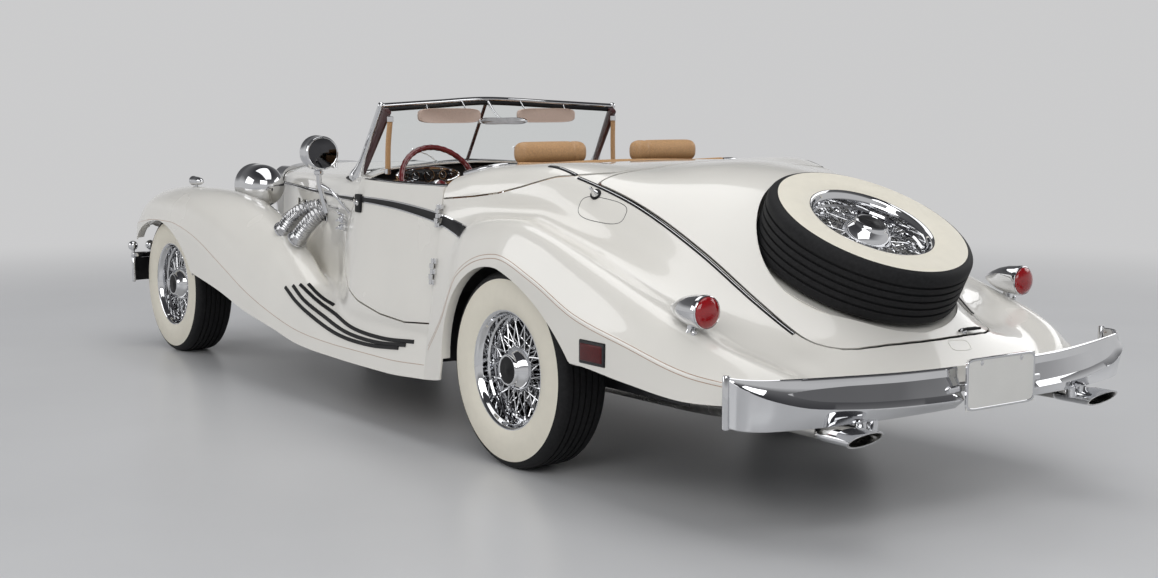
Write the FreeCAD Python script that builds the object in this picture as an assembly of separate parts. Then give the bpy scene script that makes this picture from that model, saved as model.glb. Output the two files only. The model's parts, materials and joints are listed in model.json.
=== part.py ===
import FreeCAD
import Part
import math
import os

# A roadster convertible with swept wings, folding hood cover and a spare wheel on the boot lid.
# +X is forward, +Y the left side, +Z up. The origin is on the ground at the middle of the car.
# Lengths are millimetres. Stations are distances ahead of the rear axle.

Vec = FreeCAD.Vector

# Overall places
wheelbase = 3200.0
rear_axle_x = -1100.0
front_axle_x = rear_axle_x + wheelbase
run_gap = 0.4
panel_gap = 6.0
smooth_parts = 2
skin = 6.0

# Tyres and wheels
tyre_radius = 344.0
tyre_width = 203.0
rim_radius = 200.0
rim_bore = 178.0
rim_half = 84.0
hub_radius = 62.0
hub_back = 40.0
hub_front = 56.0
cap_radius = 56.0
cap_length = 34.0
spoke_radius = 3.2
spoke_pairs = 16
rear_wheel_y = 672.5
front_wheel_y = 617.5
stub_radius = 18.0
drum_radius = 140.0
drum_width = 44.0
kingpin_y = 478.0
kingpin_radius = 13.0
kingpin_low = 240.0
kingpin_eye = 104.0
axle_beam_z = 270.0
axle_beam_radius = 26.0

# Body walls
wall = 44.0
body_split = 497.0
cowl_joint = 1520.0
bonnet_front = 2720.0
belt_z = 874.0
sill_z = 330.0
tail_end = -1300.0
cover_front = 335.0
cockpit_half = 596.0
lid_front = -250.0
lid_strip_half = 6.0

# Hinges
lid_axis_z = 1056.0
lid_axis_off = 9.0
lid_barrel_y = 120.0
lid_barrel_half = 30.0
lid_barrel_radius = 4.0
door_axis_station = 501.5
door_axis_top = (722.0, 954.0)
door_axis_low = (786.0, 440.0)
door_barrel_radius = 7.0
door_pin_radius = 3.0
door_leaf_reach = 30.0
door_leaf_depth = 26.0
door_leaf_gap = 1.4
hinge_gap = 0.3
bonnet_rod_radius = 2.6
bonnet_middle_gap = 9.0

# Chassis
rail_width = 60.0
rail_front = (262.0, 330.0, 412.0)
rail_middle = (420.0, 236.0, 322.0)
rail_rear = (420.0, 396.0, 446.0)
cross_half = 30.0
jack_pad_radius = 38.0
jack_pad_z = 216.0
jack_pad_stations = (1500.0, 700.0)
floor_sheet = 4.0
tunnel_half = 115.0
tunnel_top = 500.0
axle_tube_radius = 38.0
differential_radius = 94.0
spring_leaf = 16.0
spring_width = 50.0

# Engine and radiator
engine_half = 190.0
engine_low = 412.0
engine_top = 800.0
engine_rear = 1760.0
gearbox_half = 105.0
gearbox_low = 400.0
gearbox_top = 640.0
shaft_radius = 32.0
radiator_depth = 128.0
radiator_low = 470.0
grille_bar = 3.0
grille_pitch = 20.0

# Cabin fittings
dash_half = 600.0
headrest_station = 433.0
headrest_inner = 112.0
headrest_outer = 435.0
headrest_low = 1036.0
headrest_high = 1104.0
headrest_depth = 90.0
mirror_station = 1190.0
mirror_half = 128.0
mirror_low = 1166.0
mirror_high = 1206.0
visor_station = 1215.0
visor_inner = 95.0
visor_outer = 400.0
visor_low = 1178.0
visor_high = 1240.0
visor_rods = (150.0, 350.0)
lever_station = 1010.0
lever_top = 705.0

# Spare wheel on the lid
spare_station = -975.0
spare_face_z = 894.0
spare_tilt = 26.4
spare_pocket_gap = 12.0

# Windscreen
header_corner = (1186.0, 585.0, 1250.0)
header_middle = (1308.0, 0.0, 1279.0)
screen_foot = (1352.0, 606.0, 972.0)
screen_base_middle = (1478.0, 0.0, 1008.0)
screen_tube = 12.0
glass_thickness = 5.0

# Lamps
headlamp_place = (2650.0, 452.0, 862.0)
headlamp_radius = 98.0
headlamp_length = 235.0
tail_lamp_place = (-1000.0, 718.0, 649.0)
tail_lamp_radius = 50.0
tail_lamp_length = 165.0
spotlight_place = (1365.0, 780.0, 1059.0)
spotlight_radius = 70.0
marker_place = (3100.0, 606.0, 872.0)
marker_radius = 22.0

# Bumpers and plate
rear_bumper_end = (-1231.0, 849.0)
rear_bumper_middle = -1457.0
bumper_sheet = 10.0
bumper_arm_inner = 395.0
bumper_arm_outer = 425.0
bumper_bar_near = 10.0
bumper_bar_far = 27.0
plate_width = 305.0
plate_height = 152.0
plate_z = 444.0
plate_sheet = 3.0
plate_hole_spacing = 178.0
plate_hole_radius = 3.5
tailpipe_y = 536.0
tailpipe_z = 328.0
tailpipe_radius = 28.0
tailpipe_wall = 4.0
tailpipe_bend = 70.0
silencer_radius = 52.0
tank_half = 300.0
tank_low = 290.0
tank_top = 394.0

# Steering wheel and column
steering_place = (1106.0, 360.0, 917.0)
steering_radius = 190.0
steering_rake = 25.0
column_radius = 17.0
seat_top = 1000.0


def sx(station):
    """Place along X of a station measured ahead of the rear axle."""
    return rear_axle_x + station


def fx(station):
    """Place of a station that keeps its distance from the front axle."""
    return front_axle_x + station - 3200.0


def box(x0, x1, y0, y1, z0, z1):
    low = Vec(min(x0, x1), min(y0, y1), min(z0, z1))
    return Part.makeBox(abs(x1 - x0), abs(y1 - y0), abs(z1 - z0), low)


def rod(a, b, radius):
    a = Vec(*a)
    b = Vec(*b)
    return Part.makeCylinder(radius, (b - a).Length, a, b - a)


def mirrored(shape):
    return shape.mirror(Vec(0, 0, 0), Vec(0, 1, 0))


def both(shape):
    return Part.makeCompound([shape, mirrored(shape)])


def outward(solid):
    """The same solid with its faces looking out."""
    if solid.Volume < 0:
        solid.reverse()
    return solid


def joined(shapes):
    """The shapes fused where they meet."""
    fused = shapes[0].multiFuse(shapes[1:]).removeSplitter()
    solids = [outward(one) for one in fused.Solids]
    if len(solids) == 1:
        return solids[0]
    return Part.makeCompound(solids)


def profile(x, steps):
    """Closed wire at X from steps: a point (y, z), or an arc (ymid, zmid, y, z) to a point."""
    def at(y, z):
        return Vec(x, y, z)
    start = at(*steps[0])
    here = start
    edges = []
    for step in steps[1:]:
        if len(step) == 4:
            end = at(step[2], step[3])
            edges.append(Part.Arc(here, at(step[0], step[1]), end).toShape())
        else:
            end = at(*step)
            edges.append(Part.LineSegment(here, end).toShape())
        here = end
    edges.append(Part.LineSegment(here, start).toShape())
    return Part.Wire(edges)


def loft(wires):
    """Solid through the wires with straight rulings from each one to the next."""
    return outward(Part.makeLoft(wires, True, True))


def flat(corners):
    return Part.Face(Part.makePolygon(list(corners) + [corners[0]]))


def faceted(rows):
    """Solid of flat triangles between rows of corners, with both ends closed."""
    faces = [flat(rows[0]), flat(rows[-1])]
    for low, high in zip(rows, rows[1:]):
        for i in range(len(low)):
            j = (i + 1) % len(low)
            faces.append(flat([low[i], low[j], high[j]]))
            faces.append(flat([low[i], high[j], high[i]]))
    shell = Part.makeShell(faces)
    shell.sewShape()
    return outward(Part.makeSolid(shell))


def blade(rows, sheet):
    """Ridged bumper blade. rows: x, y, bottom z, top z, ridge depth, outward x, outward y."""
    sections = []
    for x, y, z0, z1, ridge, nx, ny in rows:
        size = math.hypot(nx, ny)
        zm = (z0 + z1) / 2
        outline = [(0, z0), (ridge, zm), (0, z1), (-sheet, z1), (ridge - sheet, zm), (-sheet, z0)]
        sections.append([Vec(x + nx / size * d, y + ny / size * d, z) for d, z in outline])
    return faceted(sections)


def largest(shape):
    return max(shape.Solids, key=lambda one: one.Volume)


def spread(rows, parts):
    """Rows with smooth ones set between them. The first column is where each row stands."""
    out = []
    last = len(rows) - 1
    for i in range(last):
        a, b = rows[i], rows[i + 1]
        before = rows[max(i - 1, 0)]
        after = rows[min(i + 2, last)]
        span = b[0] - a[0]
        for k in range(parts):
            t = k / parts
            row = [a[0] + span * t]
            for c in range(1, len(a)):
                step = b[c] - a[c]
                start = (b[c] - before[c]) / (b[0] - before[0]) * span
                end = (after[c] - a[c]) / (after[0] - a[0]) * span
                if step * start <= 0:
                    start = 0.0
                if step * end <= 0:
                    end = 0.0
                h = t * t * (3 - 2 * t)
                row.append(a[c] + step * h + start * t * (1 - t) ** 2 - end * t * t * (1 - t))
            out.append(tuple(row))
    out.append(tuple(rows[last]))
    return out


def plan_prism(points, z0, z1):
    """Upright prism over an outline of (x, y) corners."""
    corners = [Vec(x, y, z0) for x, y in points]
    corners.append(corners[0])
    return Part.Face(Part.makePolygon(corners)).extrude(Vec(0, 0, z1 - z0))


def side_prism(points, y0, y1):
    """Prism across the car over an outline of (x, z) corners."""
    corners = [Vec(x, y0, z) for x, z in points]
    corners.append(corners[0])
    return Part.Face(Part.makePolygon(corners)).extrude(Vec(0, y1 - y0, 0))


def turned(points, origin, axis):
    """Solid of revolution. points are (distance along axis, radius), axis a direction."""
    corners = [Vec(a, r, 0) for a, r in points]
    corners.append(corners[0])
    body = Part.Face(Part.makePolygon(corners)).revolve(Vec(0, 0, 0), Vec(1, 0, 0), 360)
    place = FreeCAD.Placement(Vec(*origin), FreeCAD.Rotation(Vec(1, 0, 0), Vec(*axis)))
    body.Placement = place
    return body


# Columns: station, top z, strip y, strip z, shoulder y, shoulder z, valley y, valley z, bottom z
tail_rows = [
    (497, 1003, 655, 984, 700, 945, 716, 860, 450),
    (350, 1034, 640, 1012, 686, 962, 702, 866, 450),
    (200, 1045, 625, 1024, 670, 962, 684, 870, 450),
    (-44, 1055, 600, 1033, 648, 955, 664, 874, 450),
    (-223, 1058, 570, 1000, 622, 918, 652, 828, 450),
    (-445, 1055, 530, 925, 590, 845, 642, 765, 450),
    (-689, 1000, 480, 796, 563, 735, 640, 682, 450),
    (-917, 860, 430, 645, 520, 612, 622, 600, 450),
    (-1063, 720, 400, 556, 490, 537, 590, 530, 448),
    (-1200, 560, 370, 505, 450, 490, 530, 478, 430),
    (-1300, 452, 330, 436, 395, 430, 450, 426, 410),
]
wheelhouse_y = 530.0
wheelhouse_z = 735.0


def tail_volume(inset):
    """Boot body from the door shut line to the tail, drawn in by inset all round."""
    wires = []
    for s, top, ys, zs, y1, z1, yv, zv, zb in spread(tail_rows, smooth_parts):
        low = zb + inset
        low_y = min(wheelhouse_y, yv) - inset
        arch = min(wheelhouse_z, zv - 40.0) - inset
        arch = max(arch, low + 4.0)
        yv = yv - inset
        zv = max(zv - inset, arch + 4.0)
        y1 = y1 - inset
        ys = ys - inset
        wires.append(profile(sx(s), [
            (-low_y, low),
            (-low_y, arch),
            (-yv, zv),
            (-y1, z1 - inset * 0.6, -ys, zs - inset),
            (0, top - inset, ys, zs - inset),
            (y1, z1 - inset * 0.6, yv, zv),
            (low_y, arch),
            (low_y, low),
        ]))
    return loft(wires)


# Columns: station, top y, top z, middle y, middle z, bottom y, bottom z
side_rows = [
    (497, 706, 954, 737, 660, 770, 440),
    (850, 700, 951, 729, 660, 765, 440),
    (1170, 690, 958, 716, 660, 752, 450),
    (1350, 652, 962, 672, 690, 700, 470),
    (1520, 613, 965, 622, 700, 640, 480),
]


def side_volume(inset):
    """Body between the door shut line and the bonnet, filled across the car."""
    wires = []
    for s, yt, zt, ym, zm, yb, zb in spread(side_rows, smooth_parts):
        yt, ym, yb = yt - inset, ym - inset, yb - inset
        wires.append(profile(sx(s), [
            (-yb, sill_z),
            (-yb, zb),
            (-ym, zm, -yt, zt),
            (yt, zt),
            (ym, zm, yb, zb),
            (yb, sill_z),
        ]))
    return loft(wires)


# Columns: station, bottom y, bottom z, belt y, turn y, turn z, crown y, crown z, middle z
bonnet_rows = [
    (1170, 730, 470, 692, 668, 940, 580, 980, 1004),
    (1520, 640, 500, 613, 590, 935, 510, 968, 1000),
    (2100, 490, 555, 463, 447, 928, 375, 953, 984),
    (2720, 312, 600, 300, 288, 915, 225, 938, 963),
]


def bonnet_volume(inset, rows):
    wires = []
    for s, y0, z0, yb, yt, zt, yc, zc, zm in spread(rows, smooth_parts):
        wires.append(profile(sx(s), [
            (-y0 + inset, z0),
            (-yb + inset, belt_z),
            (-yt + inset, zt - inset * 0.5, -yc + inset * 0.4, zc - inset),
            (0, zm - inset, yc - inset * 0.4, zc - inset),
            (yt - inset, zt - inset * 0.5, yb - inset, belt_z),
            (y0 - inset, z0),
        ]))
    return loft(wires)


# Columns: station, inner y, z, inner mid y, z, crest y, z, outer mid y, z, crease y, z, edge y, z
wing_rows = [
    (497, 766, 430, 770, 402, 776, 372, 786, 328, 795, 292, 803, 245),
    (770, 762, 426, 767, 400, 773, 370, 785, 320, 796, 277, 804, 230),
    (1210, 742, 436, 753, 410, 765, 378, 782, 322, 796, 277, 804, 232),
    (1560, 596, 456, 665, 484, 725, 455, 771, 385, 796, 294, 804, 246),
    (1810, 535, 505, 603, 592, 690, 577, 757, 470, 796, 337, 804, 286),
    (2100, 468, 560, 555, 684, 660, 704, 746, 585, 794, 410, 803, 330),
    (2390, 395, 585, 505, 765, 640, 790, 742, 685, 791, 512, 801, 394),
    (2700, 325, 600, 465, 802, 630, 836, 746, 762, 788, 618, 798, 446),
    (3000, 330, 600, 455, 795, 622, 846, 750, 780, 785, 672, 792, 500),
    (3280, 375, 600, 470, 775, 614, 833, 738, 772, 776, 668, 781, 520),
    (3490, 420, 590, 495, 735, 612, 796, 722, 740, 764, 642, 767, 540),
    (3620, 485, 580, 532, 660, 614, 705, 692, 678, 732, 618, 735, 560),
    (3665, 540, 590, 568, 616, 616, 636, 665, 624, 690, 602, 692, 578),
]


def wing_volume(inset, drop):
    """Front wing and running board of the left side, drawn in by inset, lowered by drop."""
    wires = []
    for s, yi, zi, y1, z1, yc, zc, y2, z2, yo, zo, ye, ze in spread(wing_rows, smooth_parts):
        ends = inset * 0.8
        low = ze - drop
        wires.append(profile(fx(s) if s > 2000 else sx(s), [
            (yi + inset, low),
            (yi + inset, zi - inset * 0.5),
            (y1 + ends, z1 - ends, yc, zc - inset),
            (y2 - ends, z2 - ends * 0.6, yo - inset, zo),
            (ye - inset, low),
        ]))
    return loft(wires)


# Columns: station, valley y, z, middle y, z, crease y, z, edge y, z
fender_rows = [
    (497, 718, 862, 752, 630, 792, 345, 803, 245),
    (380, 706, 868, 757, 715, 799, 480, 808, 260),
    (260, 690, 870, 757, 815, 804, 660, 812, 300),
    (0, 664, 876, 753, 856, 810, 742, 816, 400),
    (-223, 650, 830, 754, 822, 815, 684, 820, 420),
    (-470, 641, 760, 748, 736, 819, 588, 822, 436),
    (-740, 638, 670, 741, 645, 817, 530, 818, 412),
    (-990, 618, 578, 728, 568, 800, 476, 802, 392),
    (-1160, 560, 512, 672, 512, 752, 456, 755, 398),
    (-1262, 480, 462, 580, 462, 660, 434, 662, 402),
]
fender_inner_y = 536.0


def fender_volume(inset, drop):
    wires = []
    for s, yv, zv, ym, zm, yo, zo, ye, ze in spread(fender_rows, smooth_parts):
        inner = min(fender_inner_y, yv - 60.0) - inset * 3
        wires.append(profile(sx(s), [
            (inner, ze - drop),
            (inner, zv - inset),
            (yv, zv - inset),
            (ym - inset * 0.6, zm - inset * 0.8, yo - inset, zo),
            (ye - inset, ze - drop),
        ]))
    return loft(wires)


def arch_prism(points, y0, y1):
    """Wheel opening through a side, from three arcs over the wheel and straight legs."""
    p = [Vec(x, y0, z) for x, z in points]
    edges = [
        Part.LineSegment(p[0], p[1]).toShape(),
        Part.Arc(p[1], p[2], p[3]).toShape(),
        Part.Arc(p[3], p[4], p[5]).toShape(),
        Part.LineSegment(p[5], p[6]).toShape(),
        Part.LineSegment(p[6], p[0]).toShape(),
    ]
    return Part.Face(Part.Wire(edges)).extrude(Vec(0, y1 - y0, 0))


front_arch = arch_prism([
    (fx(3640), 100), (fx(3560), 560), (fx(3400), 640), (fx(3160), 672),
    (fx(2925), 600), (fx(2719), 437), (fx(2640), 100)], 700, 900)
rear_arch = arch_prism([
    (sx(392), 150), (sx(362), 340), (sx(255), 616), (sx(-10), 700),
    (sx(-235), 610), (sx(-462), 425), (sx(-640), 150)], 640, 900)

# Columns: station, z of the door outline, from the rear top corner round the bottom to the front
door_outline = [
    (body_split, 1000), (body_split, 447), (700, 430), (900, 440), (1100, 472), (1230, 512),
    (1320, 562), (1368, 620), (1372, 680), (1310, 780), (1240, 872), (1168, 970), (1166, 1000)]

tail = tail_volume(0)
tail_room = tail_volume(skin)
side = side_volume(0)
side_room = side_volume(wall)
bonnet_full = bonnet_volume(0, bonnet_rows)
wing_full = wing_volume(0, 0)
fender_full = fender_volume(0, 0)


def lid_barrels(way, grow):
    """The two hinge barrels of the lid ahead of (way 1) or behind (way -1) the deck strip."""
    x = sx(lid_front + way * lid_axis_off)
    reach = lid_barrel_half + grow
    barrels = []
    for sign in (1, -1):
        y = sign * lid_barrel_y
        barrels.append(rod((x, y - reach, lid_axis_z), (x, y + reach, lid_axis_z),
                           lid_barrel_radius + grow))
    return barrels


def make_rear_body():
    """Tail shell with the openings of both lids and the deck strip between them."""
    skin_shell = tail.cut(tail_room)
    shell = skin_shell.cut(hood_cover_zone(0)).cut(lid_zone(0))
    seat_half = wheelhouse_y - skin
    shell = shell.cut(box(sx(cover_front), sx(600), -seat_half, seat_half, 400, 1200))
    end = tail.common(box(sx(tail_end), sx(tail_end) + skin, -900, 900, 300, 1200))
    strip = skin_shell.common(box(sx(lid_front) - lid_strip_half, sx(lid_front) + lid_strip_half,
                                  -900, 900, 900, 1200))
    return joined([shell, end, strip] + lid_barrels(1, 0) + lid_barrels(-1, 0))


def hood_cover_zone(gap):
    """Space of the lid over the folded hood, in side view, less a gap at its edges."""
    front = sx(body_split) - gap
    back = sx(lid_front) + lid_strip_half + gap
    points = [
        (front, 908 + gap), (sx(325), 923 + gap), (sx(192), 940 + gap), (sx(65), 967 + gap),
        (sx(-88), 1007 + gap), (back, 1022 + gap), (back, 1200), (front, 1200)]
    return side_prism(points, -760, 760)


def make_hood_cover():
    """Lid over the folded hood, with its two horns that run on to the doors."""
    cover = tail.cut(tail_room).common(hood_cover_zone(panel_gap))
    cover = cover.cut(box(sx(cover_front), sx(600), -cockpit_half, cockpit_half, 800, 1200))
    for barrel in lid_barrels(1, hinge_gap):
        cover = cover.cut(barrel)
    return cover


# Columns: station, half width of the boot lid outline
lid_rows = [(-250, 566), (-445, 530), (-689, 480), (-917, 430), (-1063, 392), (-1150, 330), (-1215, 200)]


def lid_zone(gap):
    left = [(sx(s), y - gap) for s, y in lid_rows]
    left[0] = (left[0][0] - lid_strip_half - gap, left[0][1])
    end_x = sx(lid_rows[-1][0]) + gap
    left[-1] = (end_x, left[-1][1])
    right = [(x, -y) for x, y in reversed(left)]
    return plan_prism(left + right, 470, 1200)


def spare_axis():
    tilt = math.radians(spare_tilt)
    return Vec(-math.sin(tilt), 0, math.cos(tilt))


def make_trunk_lid():
    axis = spare_axis()
    face = Vec(sx(spare_station), 0, spare_face_z)
    floor = face - axis * (tyre_width + 2.0)
    reach = tyre_radius + spare_pocket_gap
    pocket = Part.makeCylinder(reach, 500, floor, axis)
    tub = Part.makeCylinder(reach + skin, 500, floor - axis * skin, axis).cut(pocket)
    zone = lid_zone(panel_gap)
    lid = tail.cut(tail_room).common(zone).cut(pocket)
    tub = tub.common(tail).common(zone)
    carrier_top = tyre_width / 2 - hub_back + 2.0
    carrier = Part.makeCylinder(45, carrier_top, floor - axis * 1.0, axis)
    whole = joined([lid, tub, carrier])
    for barrel in lid_barrels(-1, hinge_gap):
        whole = whole.cut(barrel)
    return largest(whole)


def make_side_wall():
    ring = side.cut(side_room)
    ring = ring.cut(box(sx(300), sx(1700), -560, 560, 0, 1200))
    cowl_cut = box(sx(1170), sx(cowl_joint) + 1, -900, 900, belt_z, 1200)
    ring = ring.cut(cowl_cut)
    for sign in (1, -1):
        door = side_prism([(sx(s), z) for s, z in door_outline], sign * 500, sign * 900)
        ring = ring.cut(door)
    return ring.cut(frame_ring)


# Columns: bottom z, top z of the two hinges of a door
door_hinge_rows = [(595, 692), (805, 890)]


def door_axis_y(z):
    slope = (door_axis_low[0] - door_axis_top[0]) / (door_axis_top[1] - door_axis_low[1])
    return door_axis_top[0] + (door_axis_top[1] - z) * slope


def door_rod(z0, z1, radius):
    x = sx(door_axis_station)
    return rod((x, door_axis_y(z0), z0), (x, door_axis_y(z1), z1), radius)


def door_leaf(z0, z1, way):
    """Hinge leaf with its barrel, reaching forward (way 1) or backward (way -1)."""
    x = sx(door_axis_station)
    y = door_axis_y((z0 + z1) / 2)
    leaf = box(x, x + way * door_leaf_reach, y - door_leaf_depth, y + door_barrel_radius * 0.6, z0, z1)
    return joined([leaf, door_rod(z0, z1, door_barrel_radius)])


def make_door():
    """Left door with its hinge leaves, set in from its opening by the panel gap."""
    points = []
    for s, z in door_outline:
        points.append((sx(s) + panel_gap * (1 if s < 900 else -1), z + panel_gap * 0.8))
    panel = side.cut(side_room).common(side_prism(points, 500, 900))
    pocket_top = box(sx(300), sx(1700), 500, 900, 955, 1200)
    pieces = [panel.cut(pocket_top)]
    for z0, z1 in door_hinge_rows:
        third = (z1 - z0) / 3
        pieces.append(door_leaf(z0 + third, z1 - third, 1))
    door = joined(pieces)
    for z0, z1 in door_hinge_rows:
        door = door.cut(door_rod(z0, z1, door_pin_radius + hinge_gap))
    return door


def make_door_hinges():
    """Fixed halves of the left door's hinges, on the body behind the door."""
    hinges = []
    for z0, z1 in door_hinge_rows:
        third = (z1 - z0) / 3 - door_leaf_gap
        low = door_leaf(z0, z0 + third, -1)
        high = door_leaf(z1 - third, z1, -1)
        whole = joined([low, high, door_rod(z0, z1, door_pin_radius)])
        hinges.append(largest(whole.cut(tail).cut(fender_full)))
    return hinges


def make_cowl():
    """Scuttle between the doors and the bonnet, with the bulkhead under it."""
    rows = bonnet_rows[:2]
    shell = bonnet_volume(0, rows).cut(bonnet_volume(skin, rows))
    shell = shell.common(box(sx(1170), sx(cowl_joint), -900, 900, belt_z, 1100))
    for sign in (1, -1):
        door = side_prism([(sx(s), z) for s, z in door_outline], sign * 500, sign * 900)
        shell = shell.cut(door)
    scoop = plan_prism([(sx(1100), -560), (sx(1270), -560), (sx(1400), -200), (sx(1420), 0),
                        (sx(1400), 200), (sx(1270), 560), (sx(1100), 560)], 900, 1100)
    shell = shell.cut(scoop)
    wall_x = sx(cowl_joint)
    bulkhead = bonnet_volume(0, rows).common(box(wall_x - 10, wall_x, -900, 900, 300, 1100))
    lower = side_volume(0).common(box(wall_x - 10, wall_x, -900, 900, sill_z, 560))
    lower = lower.cut(box(wall_x - 20, wall_x + 5, -tunnel_half, tunnel_half, 300, tunnel_top))
    side_ring = side.cut(side_room)
    whole = joined([shell, bulkhead.cut(side_ring), lower.cut(side_ring)])
    return largest(whole.cut(frame_ring))


def make_bonnet():
    """Left half of the bonnet, from the middle hinge down to the belt line."""
    rows = bonnet_rows[1:]
    shell = bonnet_volume(0, rows).cut(bonnet_volume(skin * 0.5, rows))
    keep = box(sx(cowl_joint) + panel_gap, sx(bonnet_front) - panel_gap, bonnet_middle_gap, 900,
               belt_z + panel_gap / 2, 1100)
    return shell.common(keep)


def make_bonnet_side():
    """Fixed left side below the bonnet, with its air slots."""
    rows = bonnet_rows[1:]
    shell = bonnet_volume(0, rows).cut(bonnet_volume(skin * 0.5, rows))
    keep = box(sx(cowl_joint), sx(bonnet_front), 100, 900, 400, belt_z - panel_gap / 2)
    panel = shell.common(keep)
    for i in range(5):
        slot_x = sx(1720 + i * 150)
        panel = panel.cut(box(slot_x, slot_x + 75, 100, 900, 745, 815))
    return panel


def make_wing():
    """Left front wing with its running board, open inside the nose where the tyre steers."""
    shell = wing_full.cut(wing_volume(skin, 60))
    nose = wing_full.common(box(fx(3657), fx(3670), 300, 900, 300, 900))
    shell = joined([shell, nose]).cut(front_arch)
    steer_room = box(fx(3385), fx(3600), 300, 478, 400, 712)
    return largest(shell.cut(side).cut(bonnet_full).cut(steer_room))


def make_rear_fender():
    front = fender_full.common(box(sx(body_split) - skin, sx(body_split), 300, 900, 200, 900))
    back = fender_full.common(box(sx(-1270), sx(-1262) + skin, 300, 900, 300, 900))
    shell = joined([fender_full.cut(fender_volume(skin, 60)), front, back]).cut(rear_arch)
    return largest(shell.cut(tail))


def make_tyre(center, axis):
    r, w = tyre_radius, tyre_width / 2
    points = [
        (-rim_half - 2, rim_radius + 1), (-w, r * 0.74), (-w * 0.93, r * 0.93), (-w * 0.74, r),
        (w * 0.74, r), (w * 0.93, r * 0.93), (w, r * 0.74), (rim_half + 2, rim_radius + 1)]
    return turned(points, center, axis)


def make_wire_wheel(center, axis, bore):
    """Rim, hub and crossed spokes in one piece."""
    rim = turned([
        (-rim_half - 2, rim_radius), (-rim_half - 2, rim_radius + 0.6), (rim_half + 2, rim_radius + 0.6),
        (rim_half + 2, rim_radius - 8), (rim_half - 14, rim_radius - 12), (30, rim_bore),
        (-rim_half + 14, rim_bore), (-rim_half - 2, rim_radius - 8)], (0, 0, 0), (1, 0, 0))
    hub = turned([
        (-hub_back, bore), (-hub_back, hub_radius), (hub_front, hub_radius),
        (hub_front + cap_length, cap_radius * 0.55), (hub_front + cap_length, 0.0),
        (hub_front + 4, 0.0), (hub_front + 4, bore)], (0, 0, 0), (1, 0, 0))
    pieces = [rim, hub]
    for i in range(spoke_pairs):
        for end, rim_at, lean in ((hub_front - 10, 20.0, 24.0), (hub_front - 10, 20.0, -24.0)):
            angle = 360.0 * i / spoke_pairs
            a = math.radians(angle)
            b = math.radians(angle + lean)
            inner = (end, (hub_radius - 6) * math.cos(a), (hub_radius - 6) * math.sin(a))
            outer = (rim_at, (rim_bore + 6) * math.cos(b), (rim_bore + 6) * math.sin(b))
            pieces.append(rod(inner, outer, spoke_radius))
    wheel = joined(pieces)
    wheel.Placement = FreeCAD.Placement(Vec(*center), FreeCAD.Rotation(Vec(1, 0, 0), Vec(*axis)))
    return wheel


def make_chassis():
    """Ladder frame: two side rails stepped over the rear axle, and cross members."""
    wires = []
    half = rail_width / 2
    for x, rail_row in [
            (fx(3480), rail_front), (fx(2350), rail_front), (sx(1620), rail_middle),
            (sx(320), rail_middle), (sx(130), rail_rear), (sx(-1060), rail_rear)]:
        y, z0, z1 = rail_row
        wires.append(profile(x, [(y - half, z0), (y + half, z0), (y + half, z1), (y - half, z1)]))
    rail = loft(wires)
    pieces = [rail, mirrored(rail)]
    # Columns: place, half width, bottom z, top z
    for x, y, z0, z1 in [
            (fx(3440), rail_front[0], 345, 400), (fx(2420), rail_front[0], 345, 410),
            (sx(1560), rail_middle[0], 245, 312), (sx(640), rail_middle[0], 280, 318),
            (sx(-420), rail_rear[0], 400, 442), (sx(-1030), rail_rear[0], 400, 442)]:
        pieces.append(box(x - cross_half, x + cross_half, -y, y, z0, z1))
    pad_height = rail_middle[1] - jack_pad_z + 2.0
    for station in jack_pad_stations:
        for sign in (1, -1):
            spot = Vec(sx(station), sign * rail_middle[0], jack_pad_z)
            pieces.append(Part.makeCylinder(jack_pad_radius, pad_height, spot))
    return joined(pieces)


def make_floor():
    """Cabin floor with its shaft tunnel."""
    half = 700.0
    t = floor_sheet
    z = sill_z
    outer = [(-half, z), (-half, z + t), (-tunnel_half - t, z + t), (-tunnel_half - t, tunnel_top + t),
             (tunnel_half + t, tunnel_top + t), (tunnel_half + t, z + t), (half, z + t), (half, z),
             (tunnel_half, z), (tunnel_half, tunnel_top), (-tunnel_half, tunnel_top), (-tunnel_half, z)]
    corners = [Vec(sx(cover_front) + t, y, zz) for y, zz in outer]
    corners.append(corners[0])
    length = sx(cowl_joint) - 10 - sx(cover_front) - t
    pan = Part.Face(Part.makePolygon(corners)).extrude(Vec(length, 0, 0))
    seat_half = wheelhouse_y - skin
    behind = box(sx(cover_front), sx(body_split), -seat_half, seat_half, z - 1, tunnel_top + 10)
    pan = joined([pan.common(side_room), pan.common(behind)])
    panel = box(sx(cover_front), sx(cover_front) + t, -seat_half, seat_half, z, 940)
    tunnel = box(sx(300), sx(360), -tunnel_half, tunnel_half, z - 5, tunnel_top)
    panel = panel.cut(tunnel)
    return joined([pan, panel])


def make_front_axle():
    z = axle_beam_z
    beam = rod((front_axle_x, -kingpin_y, z), (front_axle_x, kingpin_y, z), axle_beam_radius)
    pieces = [beam]
    for sign in (1, -1):
        eye = Part.makeCylinder(27, kingpin_eye, Vec(front_axle_x, sign * kingpin_y, kingpin_low))
        pieces.append(eye)
    beam = joined(pieces)
    for sign in (1, -1):
        bore = Part.makeCylinder(kingpin_radius + run_gap, 300, Vec(front_axle_x, sign * kingpin_y, 150))
        beam = beam.cut(bore)
    return beam


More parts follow.
